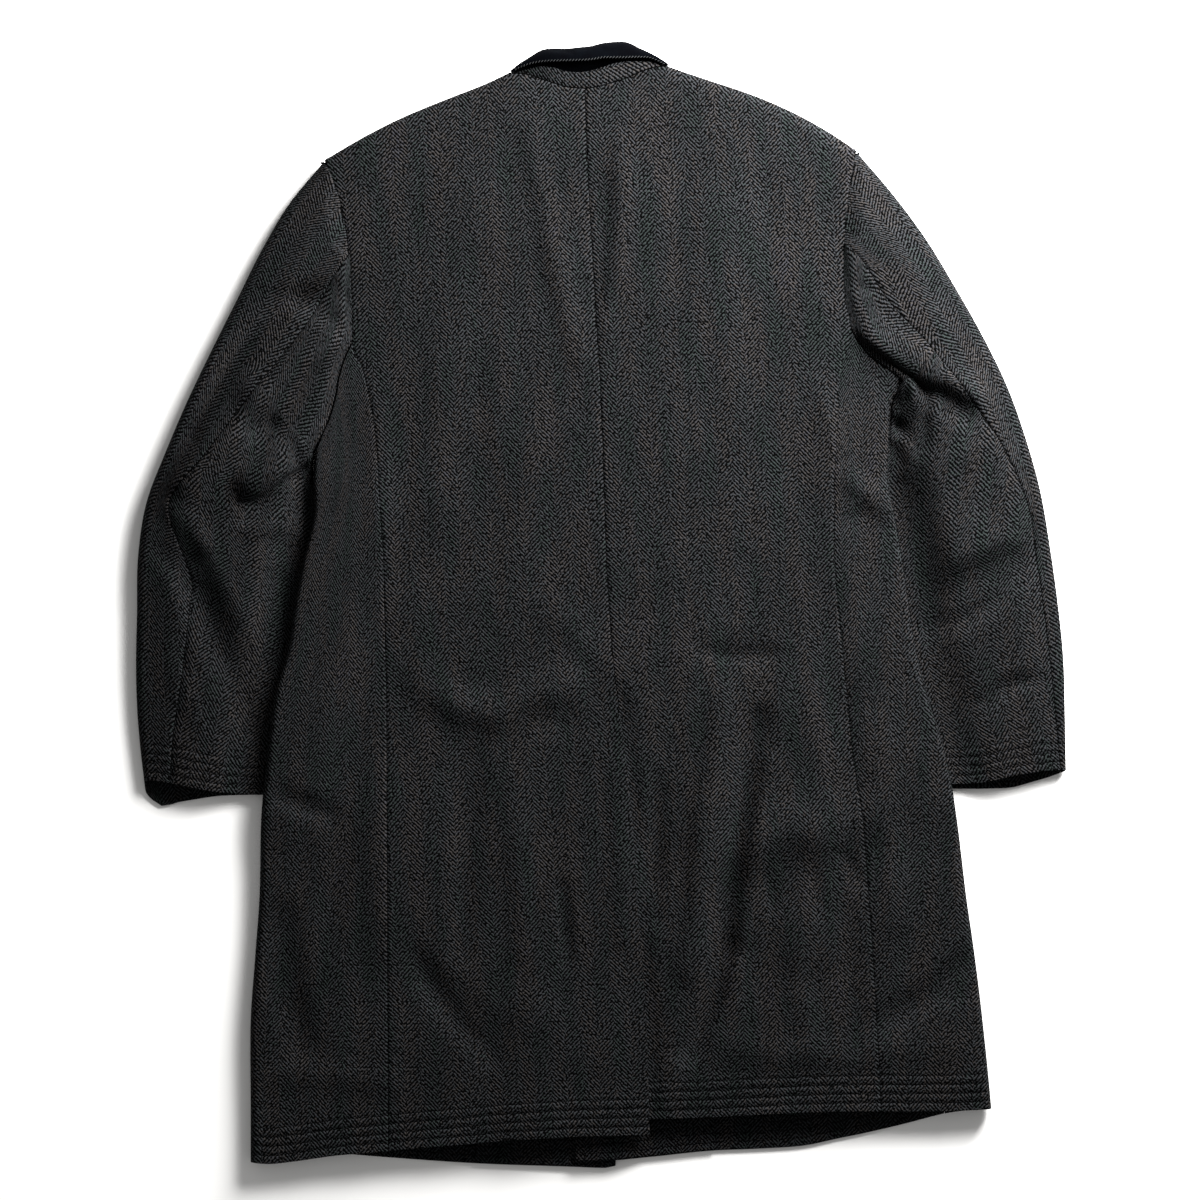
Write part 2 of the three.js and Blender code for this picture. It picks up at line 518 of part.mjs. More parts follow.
// The right front climbs over the left one where they overlap.
const overlapRise = clothWall + facingWall + 2 * layerGap;
const climb = { from: 4, to: 28 };
function frontHeight(side, x, y) {
  if (side === 'left') return floorHeight(x, y);
  const beyond = (x - frontEdgeAt('left', y) - climb.from) / (climb.to - climb.from);
  return floorHeight(x, y) + overlapRise * (1 - clamp(beyond));
}

// Places across a front, from its edge: at the foot and the head of the climb, then even.
function frontShares(side, y, width, evenColumns) {
  if (side === 'left') return steps(evenColumns + 2);
  const toClimb = frontEdgeAt('left', y) + climb.from - frontEdgeAt('right', y);
  const first = Math.max(6, toClimb);
  const second = first + climb.to - climb.from;
  return [0, first / width, ...steps(evenColumns).map((share) => mix(second / width, 1, share))];
}

// A front on the floor, from its side seam to its front edge.
function makeFront(side) {
  const way = outward[side];
  const evenColumns = 7;
  const columns = evenColumns + 2;
  const outer = [...floorSeamLine(side), ...armholeFront(side).slice(1)];
  const outerEdge = moved(outer, way * (seamGap / 2));
  const neckPoint = lines[side].shoulder[lines[side].shoulder.length - 1];
  const foot = lookUp(hemLevels, 'x', frontEdgeAt(side, -500), `${side}Front`);
  const inner = rowShares.map((share) => {
    const y = mix(foot, neckPoint[1], share);
    return [frontEdgeAt(side, y), y];
  });
  const sharesAt = (k) => frontShares(side, inner[k][1], apart(inner[k], outerEdge[k]), evenColumns);
  const shoulder = along([...lines[side].shoulder].reverse(), sharesAt(inner.length - 1));
  const top = moved(shoulder, -way * floorMid);
  const bottom = sharesAt(0).map((share) => hemPoint(mix(inner[0][0], outerEdge[0][0], share), `${side}Front`));
  bottom[0] = inner[0];
  bottom[columns] = outerEdge[0];
  top[0] = inner[rowShares.length - 1];
  top[columns] = outerEdge[outerEdge.length - 1];
  const grid = net(inner, outerEdge, bottom, top, sharesAt);
  const placed = grid.map((row) => row.map(([x, y], j) => {
    const turn = turnShare(apart([x, y], top[j]), shoulderReach);
    const low = frontHeight(side, x, y);
    const middle = (backHeight(x, y) + floorMid) / 2 - 0.7;
    return [x, y, mix(Math.max(middle, low), low, turn)];
  }));
  return wall(`front_${side}`, netFaces(placed, false), clothWall);
}

// A facing inside the front edge, made from the front's own points moved inwards by the two half walls.
function makeFacing(side) {
  const way = outward[side];
  const edgeX = frontEdgeAt(side, 0);
  const topLevel = breakHeight - 6;
  const shares = frontShares(side, 0, facingWidth, 3);
  shares[0] = 0.8 / facingWidth;
  const grid = steps(12).map((share) => shares.map((u) => {
    const x = edgeX + way * facingWidth * u;
    const y = mix(lookUp(hemLevels, 'x', x, `${side}Front`) + 1.2, topLevel, share);
    const slope = (frontHeight(side, x + 3, y) - frontHeight(side, x - 3, y)) / 6;
    const away = (clothWall + facingWall) / 2 + layerGap;
    const size = Math.hypot(1, slope);
    return [x - (slope / size) * away, y, frontHeight(side, x, y) + away / size];
  }));
  return wall(`facing_${side}`, netFaces(grid, true), facingWall);
}

// A sleeve: rows run from its outer fold to the armhole, and below the armpit to its inner fold.
function makeSleeve(side) {
  const way = outward[side];
  const shape = lines[side];
  const pit = shape.armpit;
  const away = (point) => way * (seamGap * 0.8
    + sleeveClear * (1 - ease(apart(point, pit) / 26))
    + tipClear * (1 - ease(apart(point, shape.outer[0]) / 8)));
  const flatShares = (shares) => [...shares.slice(arcColumns), 0].sort((a, b) => b - a);
  const sideHead = along([...shape.sideArm].reverse(), flatShares(sideTopShares(side)));
  const underHead = along([...shape.underArm].reverse(), flatShares(sideFloorShares(side)));
  const withoutFirstTurn = (point, i) => i !== 1;
  const headTop = moved([...armholeBack(side).reverse(), ...sideHead.slice(1)], away).filter(withoutFirstTurn);
  const headFloor = moved([...armholeFront(side).reverse(), ...underHead.slice(1)], away).filter(withoutFirstTurn);
  const rows = steps(cuffRow).map((unused, k) => k);
  const below = (k) => (k - pitRow) / (cuffRow - pitRow);
  const headLength = (k) => (k === 0 ? 0 : apart(headTop[k - 1], headTop[k]) + headLength(k - 1));
  const outerShares = rows.map((k) => (k < pitRow
    ? (outerAtPit * headLength(k)) / headLength(pitRow)
    : mix(outerAtPit, 1, below(k))));
  const hindShares = rows.map((k) => (k < pitRow
    ? (shape.hindAtPit * Math.max(0, k - hindRow)) / (pitRow - hindRow)
    : mix(shape.hindAtPit, 1, below(k))));
  const outerLine = moved(along(shape.outer, outerShares), -way * floorMid);
  outerLine[0] = mixPoint(headTop[0], outerLine[3], tipStep / apart(headTop[0], outerLine[3]));
  headTop[0] = outerLine[0];
  headFloor[0] = headTop[0];
  const innerLine = along(shape.inner, rows.slice(pitRow).map(below));
  const innerTop = [...headTop.slice(0, pitRow), ...innerLine];
  const innerFloor = [...headFloor.slice(0, pitRow), ...innerLine];
  const hindLine = along(shape.hind, hindShares);
  hindLine[hindRow] = headTop[hindRow];
  const foreLine = rows.map((k) => {
    const width = apart(innerFloor[k], outerLine[k]);
    return mixPoint(innerFloor[k], outerLine[k], foreReach / Math.max(foreReach, width));
  });
  rows.slice(foreRow, pitRow).forEach((k) => {
    foreLine[k] = mixPoint(innerFloor[foreRow], foreLine[pitRow], (k - foreRow) / (pitRow - foreRow));
  });
  const cuff = (x, layer) => [x, lookUp(cuffLevels[side], 'x', x, layer)];
  [[outerLine, 'top'], [hindLine, 'top'], [foreLine, 'floor'], [innerLine, 'top']].forEach(([line, layer]) => {
    line[line.length - 1] = cuff(line[line.length - 1][0], layer);
  });
  innerTop[cuffRow] = innerLine[innerLine.length - 1];
  innerFloor[cuffRow] = innerTop[cuffRow];

  const height = (point, k, upper) => {
    const depth = (name) => lookUp(sleeveSections, 'share', below(k), name);
    const joined = 1 - ease(apart(point, innerTop[k]) / 22) * ease(k / 2);
    const atHead = k < pitRow ? joined : joined * (1 - ease((k - pitRow + 1) / 1.5));
    const fromOuter = apart(point, outerLine[k]);
    const fromInner = apart(point, innerTop[k]);
    const risen = ease((fromInner - depth('tuck')) / 46);
    const outerEase = ease(fromOuter / 40);
    const inner = k < pitRow ? depth('crown') : depth('inner');
    const plain = mix(inner, depth('crown'), risen) - (depth('crown') - depth('outer')) * (1 - outerEase);
    const folded = plain + foldDepth(sleeveFolds[side], point[0], point[1]) * outerEase * (k < pitRow ? 1 : risen);
    const high = floorMid + mix(folded, backHeight(point[0], point[1]) - floorMid, atHead);
    const outerTurn = turnShare(fromOuter, mix(shoulderReach, 7, ease(k / pitRow)));
    const innerTurn = k < pitRow ? 1 : turnShare(fromInner, mix(foldReach, 4, ease((k - pitRow) / 2)));
    const turn = Math.min(outerTurn, innerTurn);
    return mix((high + floorMid) / 2, upper ? high : floorMid, turn);
  };
  // Rows from a fold edge to a seam or armhole edge, with the shared turn of the fold.
  const strip = (firstRow, foldEdge, otherEdge, layer, reach, flats) => {
    const upper = layer === 'top';
    const from = foldEdge.slice(firstRow);
    const to = otherEdge.slice(firstRow);
    const shares = (k) => {
      const width = Math.max(1, apart(from[k], to[k]));
      return fromFold(width, flats, Math.min(width * 0.4, reach));
    };
    const last = from.length - 1;
    const head = shares(0).map((u) => mixPoint(from[0], to[0], u));
    const foot = shares(last).map((u) => cuff(mix(from[last][0], to[last][0], u), layer));
    foot[0] = from[last];
    foot[foot.length - 1] = to[last];
    return net(from, to, head, foot, shares)
      .map((row, k) => row.map((point) => [...point, height(point, k + firstRow, upper)]));
  };
  const half = seamGap * 0.9;
  const edges = (line, firstRow, head, distance) => [
    ...head.slice(0, firstRow),
    ...moved(line.slice(firstRow), distance),
  ];
  const hindOuter = edges(hindLine, hindRow, headTop, way * half);
  const hindInner = edges(hindLine, hindRow, headTop, -way * half);
  const foreOuter = edges(foreLine, foreRow, headFloor, way * half);
  const foreInner = edges(foreLine, foreRow, headFloor, -way * half);
  hindInner[hindRow] = innerTop[hindRow];
  foreInner[foreRow] = innerFloor[foreRow];
  const topSleeve = [
    ...netFaces(strip(0, outerLine, hindOuter, 'top', 7, 4), true),
    ...netFaces(strip(0, outerLine, foreOuter, 'floor', 7, 6), false),
  ];
  const underSleeve = [
    ...netFaces(strip(hindRow, innerTop, hindInner, 'top', 4, 5), true),
    ...netFaces(strip(foreRow, innerFloor, foreInner, 'floor', 4, 1), false),
  ];
  return [wall(`top_sleeve_${side}`, topSleeve, clothWall), wall(`under_sleeve_${side}`, underSleeve, clothWall)];
}

// The collar's stand rolls over into a hollow, and the velvet fall turns back up over it.
function makeCollar() {
  const neckHeight = (section) => floorMid + section.depth - 1.3;
  const stand = collarSections.map((section) => {
    const { x, neck, roll, outline } = section;
    const high = neckHeight(section);
    const low = velvetWall / 2 + 0.2 + high * 0.22;
    return [
      [x, neck + seamGap, high],
      [x, mix(neck, roll, 0.5), high + 0.5],
      [x, roll - 1.2, high - 0.6],
      [x, roll + 0.9, mix(high, low, 0.28)],
      [x, mix(roll, outline, 0.22), mix(high, low, 0.7)],
      [x, mix(roll, outline, 0.4), mix(high, low, 0.94)],
    ];
  });
  const fall = collarSections.map((section) => {
    const { x, edge, outline } = section;
    const high = neckHeight(section) + 4.6;
    const low = velvetWall / 2 + 0.2 + neckHeight(section) * 0.2;
    const reach = outline - velvetWall / 2 - edge;
    const middle = (high + low) / 2;
    const round = (degrees) => [
      x,
      outline - velvetWall / 2 - reach * 0.6 * (1 - Math.cos((degrees * Math.PI) / 180)),
      middle + ((high - low) / 2) * Math.sin((degrees * Math.PI) / 180),
    ];
    return [...[-68, -45, -22, 0, 24, 48, 72, 90].map(round), [x, edge, high - 0.5]];
  });
  return [wall('collar_stand', sheetFaces(stand), standWall), wall('collar_fall', sheetFaces(fall), velvetWall)];
}

const coat = new THREE.Group();
['left', 'right'].forEach((side) => {
  coat.add(makeBack(side), makeSide(side), makeFront(side), makeFacing(side), ...makeSleeve(side));
});
coat.add(...makeCollar());

// The middle of the coat's outline comes to the origin, and its underside to the floor.
const bounds = new THREE.Box3().setFromObject(coat);
coat.children.forEach((mesh) => {
  mesh.geometry.translate(-(bounds.min.x + bounds.max.x) / 2, -(bounds.min.y + bounds.max.y) / 2, -bounds.min.z);
});

export default coat;
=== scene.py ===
# A herringbone overcoat with a velvet collar, lying face down. Each cloth panel is a thin sheet laid
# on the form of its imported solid, with the creases, seams and stitching that the solids leave out.
import bisect
import math

import bpy
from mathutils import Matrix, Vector, noise


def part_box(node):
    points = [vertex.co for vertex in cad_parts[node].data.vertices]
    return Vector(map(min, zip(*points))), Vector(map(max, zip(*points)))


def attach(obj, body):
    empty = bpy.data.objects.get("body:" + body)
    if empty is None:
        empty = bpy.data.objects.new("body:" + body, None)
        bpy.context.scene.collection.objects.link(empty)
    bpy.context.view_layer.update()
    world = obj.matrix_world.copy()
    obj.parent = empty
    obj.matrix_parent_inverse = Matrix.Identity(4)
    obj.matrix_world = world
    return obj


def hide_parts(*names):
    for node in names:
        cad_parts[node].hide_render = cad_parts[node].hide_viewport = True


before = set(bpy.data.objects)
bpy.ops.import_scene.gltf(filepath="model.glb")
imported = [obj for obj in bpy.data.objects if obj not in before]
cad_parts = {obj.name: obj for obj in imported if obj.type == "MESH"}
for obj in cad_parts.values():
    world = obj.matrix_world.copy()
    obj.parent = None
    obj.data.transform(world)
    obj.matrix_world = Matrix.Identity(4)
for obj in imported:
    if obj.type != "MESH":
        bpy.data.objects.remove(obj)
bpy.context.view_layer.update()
mm = 0.001
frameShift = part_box("facing_left")[1][1] - 0.144     # the tables put the facing's top at 144


# Tables in millimetres: x across the coat, y towards the collar, z up
def table(names, rows):
    return [dict(zip(names.split(), row)) for row in rows]


bodySections = table("y leftFold leftSeam centre rightSeam rightFold height", [
    (-540, -336, -203.4, 48, 268, 378, 15),
    (-480, -336, -203.7, 46, 267.6, 374, 16),
    (-400, -336, -204, 43.4, 263.8, 366, 17.5),
    (-335, -331.4, -204.3, 38.6, 260, 358, 18),
    (-280, -327.4, -204.5, 34.4, 256, 350, 18.5),
    (-205, -325.4, -205, 29.6, 250, 340.8, 19),
    (-140, -318.8, -205.2, 23, 240.2, 329, 19.5),
    (-85, -311.6, -205.5, 15.4, 235, 311.6, 20),
    (-45, -300, -206.4, 10.7, 231, 302, 20.5),
    (0, -293, -207.4, 7.5, 226.4, 294.8, 21),
    (45, -283.8, -208.3, 4.8, 222.8, 288, 21.5),
    (85, -274.6, -211, 3.6, 222.7, 281, 22),
    (120, -275, -213, 2.4, 222.7, 274, 22.5),
    (150, -272.6, -214.8, 1.6, 224.6, 275.2, 23),
    (190, -266, -220, -0.2, 226.4, 276.6, 23.5),
    (215, -262, -225.4, -1, 228.2, 286, 24),
    (264, -262, -238, -4, 239, 286, 24),
    (322, -262, -238, -7.7, 239, 286, 24),
    (408, -262, -238, -12.5, 239, 286, 24),
    (470, -262, -238, -15, 239, 286, 23),
    (520, -262, -238, -16, 239, 286, 20),
])

# where the floor side is raised over the tucked part of each sleeve
sleeveUnder = table("y left right", [
    (-240, 0, 0), (-192, 1, 1), (100, 1, 1), (112, 0.95, 1), (146, 0, 1), (172, 0, 0.95), (212, 0, 0),
])

hemLevels = table("x leftBack leftFront rightBack rightFront", [
    (-336, -534, -534, -494, -535),
    (-318, -535.4, -534, -494, -535),
    (-294, -533, -530, -494, -535),
    (-255, -527.4, -527, -494, -535),
    (-215, -524, -529.6, -494, -535),
    (-180, -520.4, -532.2, -494, -535),
    (-130, -516.4, -535.6, -494, -535),
    (-92, -512.8, -537.4, -494, -535),
    (-54, -510.6, -538.6, -494, -535),
    (-24, -509, -539.6, -494, -534.6),
    (6, -508.4, -540.6, -494, -533.2),
    (14, -508.2, -538.6, -493.8, -532.8),
    (50, -507, -538.6, -492.4, -529.8),
    (104, -507, -538.6, -490.4, -524.2),
    (150, -507, -538.6, -488, -522.2),
    (195, -507, -538.6, -486, -519.2),
    (226, -507, -538.6, -485.2, -512.6),
    (250, -507, -538.6, -484.8, -507.8),
    (288, -507, -538.6, -484.8, -499),
    (332, -507, -538.6, -484.6, -488),
    (374, -507, -538.6, -483, -483),
])

seamLines = {
    "left": {
        "shoulder": [(-264, 426), (-229.4, 446.4), (-192, 465.6), (-146, 484.8), (-116.2, 496.3),
                     (-90.2, 507.6)],
        "neck": [(-90.2, 507.6), (-72.3, 507), (-54, 501), (-33, 494.6), (-15.4, 493)],
        "backArm": [(-264, 426), (-250.4, 388.6), (-244.6, 362), (-241, 335), (-238.8, 302), (-238.4, 274),
                    (-238, 250)],
        "sideArm": [(-238, 250), (-245.4, 234), (-250.8, 216), (-253.6, 198.6), (-259.4, 178.6), (-267, 161),
                    (-272.6, 147)],
        "frontArm": [(-264, 426), (-240, 395), (-224, 345), (-217, 290), (-219, 240), (-228, 196)],
        "underArm": [(-228, 196), (-244, 174), (-260, 157), (-272.6, 147)],
        "outer": [(-264, 426), (-298, 385), (-325, 340), (-349, 292), (-373, 244), (-396, 196), (-417, 147),
                  (-436, 97), (-444, 45), (-445, -9), (-446, -62), (-444, -115), (-438, -168)],
        "hind": [(-241, 335), (-258, 309), (-275.5, 276.5), (-298.6, 244.8), (-337, 196.8), (-375, 147),
                 (-413, 98), (-411, 76), (-400, 46), (-392, 20), (-395.5, -18), (-402, -74), (-410, -124),
                 (-413, -170.4)],
        "inner": [(-275.6, 147), (-277.2, 124), (-272, 100), (-265, 72), (-262, 42), (-258, 12), (-259, -17),
                  (-263, -46), (-269, -74), (-280, -130), (-289, -184)],
        "hindAtPit": 0.27,
    },
    "right": {
        "shoulder": [(243.8, 435), (227.5, 446.4), (195, 465.6), (153.6, 484.8), (98, 504), (64.3, 515)],
        "neck": [(64.3, 515), (50, 513), (38, 509.2), (26, 503.6), (9.6, 498.2), (-4.8, 494.4), (-15.4, 493)],
        "backArm": [(243.8, 435), (240, 417.6), (236.2, 393.6), (233.3, 369.6), (232, 335), (232.2, 300),
                    (239, 264)],
        "sideArm": [(239, 264), (246.7, 250.6), (254.4, 240), (265, 231.4), (277.4, 222.7), (286, 215)],
        "frontArm": [(243.8, 435), (226, 405), (215, 365), (214, 325), (224, 288), (241, 257)],
        "underArm": [(241, 257), (256, 238), (272, 224), (286, 215)],
        "outer": [(243.8, 435), (279, 394), (311, 351), (339, 305), (365, 259), (389, 210), (407, 160),
                  (421, 110), (430.6, 55), (438, 2), (443.4, -51), (445, -105), (446, -158)],
        "hind": [(232, 347), (248, 330), (262, 309), (277, 287), (306, 256), (335, 221), (364, 182),
                 (388, 144), (409, 93), (416.6, 46.6), (427, -28), (435, -98), (440.4, -157.6)],
        "inner": [(288.6, 214), (279.6, 192), (277.4, 166), (268, 134), (260, 100), (256, 68), (256, 36),
                  (259, 4), (263, -28), (277, -100), (297, -172)],
        "hindAtPit": 0.247,
    },
}

sleeveSections = table("share inner crown outer tuck", [
    (0, 20, 27, 19, 0),
    (0.083, 12, 28, 19, 0),
    (0.167, 5.8, 29, 18.5, 6),
    (0.25, 5.6, 28, 18, 13),
    (0.333, 5.6, 26, 17, 27),
    (0.417, 5.6, 25, 16, 39),
    (0.5, 5.6, 24, 15, 43),
    (0.667, 5.6, 20, 13, 46),
    (0.833, 5.6, 16, 11, 46),
    (1, 5.6, 14, 9, 45),
])

cuffLevels = {
    "left": table("x top floor", [
        (-440, -170, -176), (-432, -168.4, -186), (-420, -169.6, -193.6), (-409, -171.4, -190.4),
        (-390, -175.4, -187), (-366, -179.6, -183.6), (-325, -182.4, -182.6), (-289, -184, -184),
    ]),
    "right": table("x top floor", [
        (297, -172, -176), (337, -171.8, -176.6), (360, -171, -176.8), (378, -167.8, -176.4),
        (394, -164, -175.6), (411, -161, -171), (430, -158.8, -165.4), (446, -158.4, -159.6),
    ]),
}

# the collar: neckline, roll of the stand, free edge and outer turn of the fall
collarSections = table("x neck roll edge outline depth", [
    (-86, 507.8, 508.6, 510.4, 512, 8.6),
    (-79, 507.4, 510.2, 514.4, 517.6, 11),
    (-68, 505.8, 513, 518, 524.6, 14),
    (-57, 502.2, 515, 519.6, 531, 17),
    (-45, 497.8, 513.2, 520, 532.6, 20),
    (-34, 494.8, 509.8, 520.2, 532.2, 21),
    (-22, 493.4, 508.8, 520.4, 533.4, 21.6),
    (-10, 493.8, 510.2, 521, 534.6, 21.6),
    (2, 496, 514, 523, 537.6, 21),
    (14, 499.8, 517.8, 523.2, 538.8, 20),
    (25, 503.4, 519.4, 523.4, 538.4, 18.6),
    (37, 508.8, 519.8, 524, 532.8, 16.6),
    (47, 512, 519.4, 523.8, 528.4, 14),
    (57, 514.2, 516.8, 520, 523, 11.4),
    (64, 515, 515.6, 516.6, 518.2, 8.6),
])

# Folds and creases: the points they run through, their height (below 0 they sink) and how far they reach
backFolds = [
    ([(-164, -72), (-39, -112)], -2.2, 26),
    ([(150, -120), (126, -330)], -3.6, 26),
    ([(126, -330), (86, -424)], -3, 24),
    ([(206, -190), (200, -330)], 2.4, 34),
    ([(62, -186), (52, -262)], -2, 20),
    ([(-164, -360), (-106, -410)], -2, 26),
    ([(-60, -400), (-70, -500)], 2.6, 44),
    ([(95, -40), (154, -48)], -1.6, 24),
    ([(-2, 400), (0, 292)], -2.2, 30),
    ([(6, 78), (170, 76)], -1.2, 22),
    ([(-120, 360), (-110, 260)], 1.6, 60),
    ([(110, 360), (105, 260)], 1.8, 60),
]
backCreases = [
    ([(-68, 456), (-56, 390), (-47, 337), (-34, 280), (-20, 235)], 3.0, 22),
    ([(20, 440), (17, 370), (13, 320), (6, 262)], 2.8, 18),
    ([(-10, 78), (90, 79), (186, 74)], 0.9, 21),
    ([(-168, -74), (-136, -95), (-100, -102), (-66, -92), (-36, -76)], 7.4, 35),
    ([(-60, 0), (-20, -30), (6, -64)], 1.6, 28),
    ([(98, -46), (124, -50), (170, -48)], -2.6, 15),
    ([(150, -106), (140, -170), (128, -235), (121, -283), (116, -331), (108, -375), (96, -408), (82, -430)],
     -7.5, 23),
    ([(140, -124), (133, -190), (126, -240), (119, -300), (112, -350), (102, -388), (86, -424)], -6, 12),
    ([(160, -150), (150, -215), (142, -270), (134, -330), (124, -380), (108, -412)], 3.4, 15),
    ([(116, -84), (108, -150), (98, -214), (92, -290), (84, -350)], 5.5, 24),
    ([(132, -240), (158, -226), (184, -214), (212, -220), (250, -202)], 6.4, 42),
    ([(160, -262), (165, -292)], -2.6, 13),
    ([(204, -256), (209, -294)], -2.6, 13),
    ([(232, -240), (246, -264)], -2.4, 13),
    ([(54, -166), (50, -221), (52, -300)], -5, 18),
    ([(-178, -336), (-158, -372), (-138, -402), (-108, -430)], -4.4, 22),
    ([(-306, -300), (-302, -370), (-286, -420)], -6, 30),
    ([(-304, -184), (-262, -200)], -5.5, 20),
    ([(270, -400), (312, -376), (364, -334)], -7, 26),
    ([(334, -380), (366, -362)], -3, 12),
    ([(-310, -452), (-255, -450), (-200, -458)], 2.2, 24),
    ([(100, -420), (180, -432), (250, -430), (340, -424)], 2.4, 30),
    ([(-38, -270), (-32, -340)], -4, 15),
    ([(-126, -150), (-131, -330)], -3, 27),
    ([(-84, -170), (-74, -330)], 2.8, 24),
    ([(-214, -150), (-206, -330)], 2.4, 34),
    ([(16, -150), (22, -320)], 2.4, 20),
    ([(200, -90), (214, -180)], 3, 40),
    ([(256, -120), (282, -300)], 3.4, 32),
    ([(180, -300), (196, -420)], 2.6, 30),
    ([(232, -300), (244, -420)], -2.6, 26),
    ([(-214, 190), (-209, 90), (-207, 0)], 2.2, 28),
    ([(236, 120), (254, 106), (274, 90)], 4.6, 22),
    ([(230, 76), (250, 88)], -3, 13),
    ([(206, 210), (224, 150)], 1.8, 20),
    ([(-66, 190), (-78, 40)], 1.8, 34),
    ([(-150, 300), (-156, 80)], 1.6, 34),
    ([(-112, 330), (-120, 100)], -1.4, 26),
    ([(120, 330), (132, 150)], 1.6, 36),
    ([(78, 400), (70, 250)], -1.3, 26),
    ([(150, 440), (158, 360)], -1.6, 24),
    ([(-246, -220), (-262, -330)], -1.6, 22),
]
sleeveFolds = {
    "left": [
        ([(-262, 252), (-330, 205)], 5, 26),
        ([(-330, 205), (-400, 120)], 3.4, 24),
        ([(-286, 292), (-262, 276)], -4, 20),
        ([(-330, 168), (-318, 172)], -6, 18),
        ([(-300, 140), (-334, 118)], 6, 18),
        ([(-306, 96), (-336, 84)], -5, 18),
        ([(-420, 78), (-392, 48)], -4, 18),
        ([(-384, 40), (-330, -90)], -4, 22),
    ],
    "right": [
        ([(262, 262), (352, 206)], 5, 22),
        ([(284, 234), (350, 180)], -6, 19),
        ([(300, 200), (302, 186)], 4, 14),
        ([(392, 44), (318, -4)], -5, 22),
        ([(352, 72), (334, 56)], 4, 26),
        ([(384, -76), (424, -72)], -2, 14),
    ],
}
sleeveCreases = {
    "left": [
        ([(-254, 246), (-284, 232), (-306, 212), (-330, 186), (-352, 158), (-376, 134), (-398, 116)], 8, 26),
        ([(-244, 296), (-276, 298), (-306, 286), (-334, 256), (-358, 222), (-392, 166)], -7, 26),
        ([(-270, 168), (-288, 155), (-306, 143), (-322, 130), (-342, 118)], 5.6, 15),
        ([(-264, 152), (-282, 136), (-298, 124), (-314, 110), (-330, 99), (-344, 100)], -9, 13),
        ([(-335, 70), (-308, 76), (-286, 66)], 3.4, 15),
        ([(-420, 52), (-402, 36), (-385, 5), (-364, -50), (-334, -118)], -6.8, 24),
        ([(-392, 84), (-372, 40), (-350, -10)], 2.6, 18),
        ([(-300, 20), (-292, -60)], -3, 16),
        ([(-402, -70), (-380, -120)], 1.8, 20),
    ],
    "right": [
        ([(256, 261), (272, 253), (286, 242), (300, 232), (313, 222), (327, 212), (342, 204), (358, 196)],
         4.2, 16),
        ([(253, 250), (270, 242), (284, 229), (299, 217), (313, 206)], -7, 12),
        ([(306, 212), (330, 200), (354, 190)], -2.4, 12),
        ([(277, 227), (290, 221), (298, 209), (298, 195), (291, 184)], 9, 9),
        ([(281, 202), (286, 190)], -5, 7),
        ([(280, 175), (290, 168)], -12, 10),
        ([(280, 160), (293, 151), (298, 137), (291, 124)], 8, 10),
        ([(306, 214), (312, 196), (309, 178), (311, 150)], -6, 11),
        ([(325, 34), (354, 50), (383, 64)], 4.4, 19),
        ([(311, -22), (345, -16), (376, 4), (400, 34), (418, 74)], -7, 21),
        ([(340, 140), (362, 150)], 2.4, 22),
        ([(356, -98), (380, -86), (402, -70)], -3, 15),
        ([(383, -75), (404, -76), (426, -73)], -1.2, 6),
        ([(240, 306), (262, 300)], -2, 12),
    ],
}

# Where a fold hangs over: the points it runs through, how far it is pushed, and its reach
sleeveOverhangs = {
    "left": [([(-280, 150), (-292, 142), (-308, 133), (-324, 118), (-340, 108)], (3.5, -9), 15)],
    "right": [([(250, 264), (262, 258), (278, 248), (292, 237), (304, 228), (316, 219)], (-4, -9), 18)],
}

cloth = {
    "clothWall": 2.2,        # drawn a little thinner than the solids, on the same middle
    "facingWall": 1.3,
    "velvetWall": 1.9,
    "standWall": 1.7,
    "solidWall": 2.6,        # the solids' own walls, which set where each middle lies
    "facingSolid": 1.5,
    "layerGap": 0.4,
    "sideReturn": 45,        # how far a side panel reaches under the coat
    "foldReach": 6,
    "shoulderReach": 11,
    "seamHalf": 0.34,        # half of the line that shows between two sewn panels
    "seamDip": 1.5,          # how deep an edge rolls down into its seam
    "seamRoll": 3.2,         # over what width
    "rumple": 0.5,           # the slight unevenness everywhere
    "cord": 0.8,             # half the width of the dark cord down in a seam: the sewing thread, with painted shade of the seam's groove
    "cordLift": 0.95,
    "restHeight": 6.6,       # the back never sinks below this
}
floorMid = cloth["solidWall"] / 2
outward = {"left": -1, "right": 1}


def clamp(value):
    return min(1.0, max(0.0, value))


def mix(a, b, share):
    return a + (b - a) * share


def ease(value):
    value = clamp(value)
    return value * value * (3 - 2 * value)


def turnShare(distance, reach):
    return math.sqrt(1 - (1 - clamp(distance / reach)) ** 2)


# One column of a table as a smooth curve of its key column, or as straight pieces
def curveOf(rows, key, column, smooth=True):
    xs = [row[key] for row in rows]
    ys = [row[column] for row in rows]
    last = len(xs) - 1
    slopes = []
    for i in range(last + 1):
        low = max(0, i - 1)
        high = min(last, i + 1)
        slopes.append((ys[high] - ys[low]) / (xs[high] - xs[low]))

    def at(x):
        if x <= xs[0]:
            return ys[0]
        if x >= xs[last]:
            return ys[last]
        i = bisect.bisect_right(xs, x) - 1
        wide = xs[i + 1] - xs[i]
        t = (x - xs[i]) / wide
        if not smooth:
            return mix(ys[i], ys[i + 1], t)
        a = ys[i] * (1 + 2 * t) * (1 - t) ** 2 + ys[i + 1] * t * t * (3 - 2 * t)
        return a + slopes[i] * wide * t * (1 - t) ** 2 - slopes[i + 1] * wide * t * t * (1 - t)
    return at


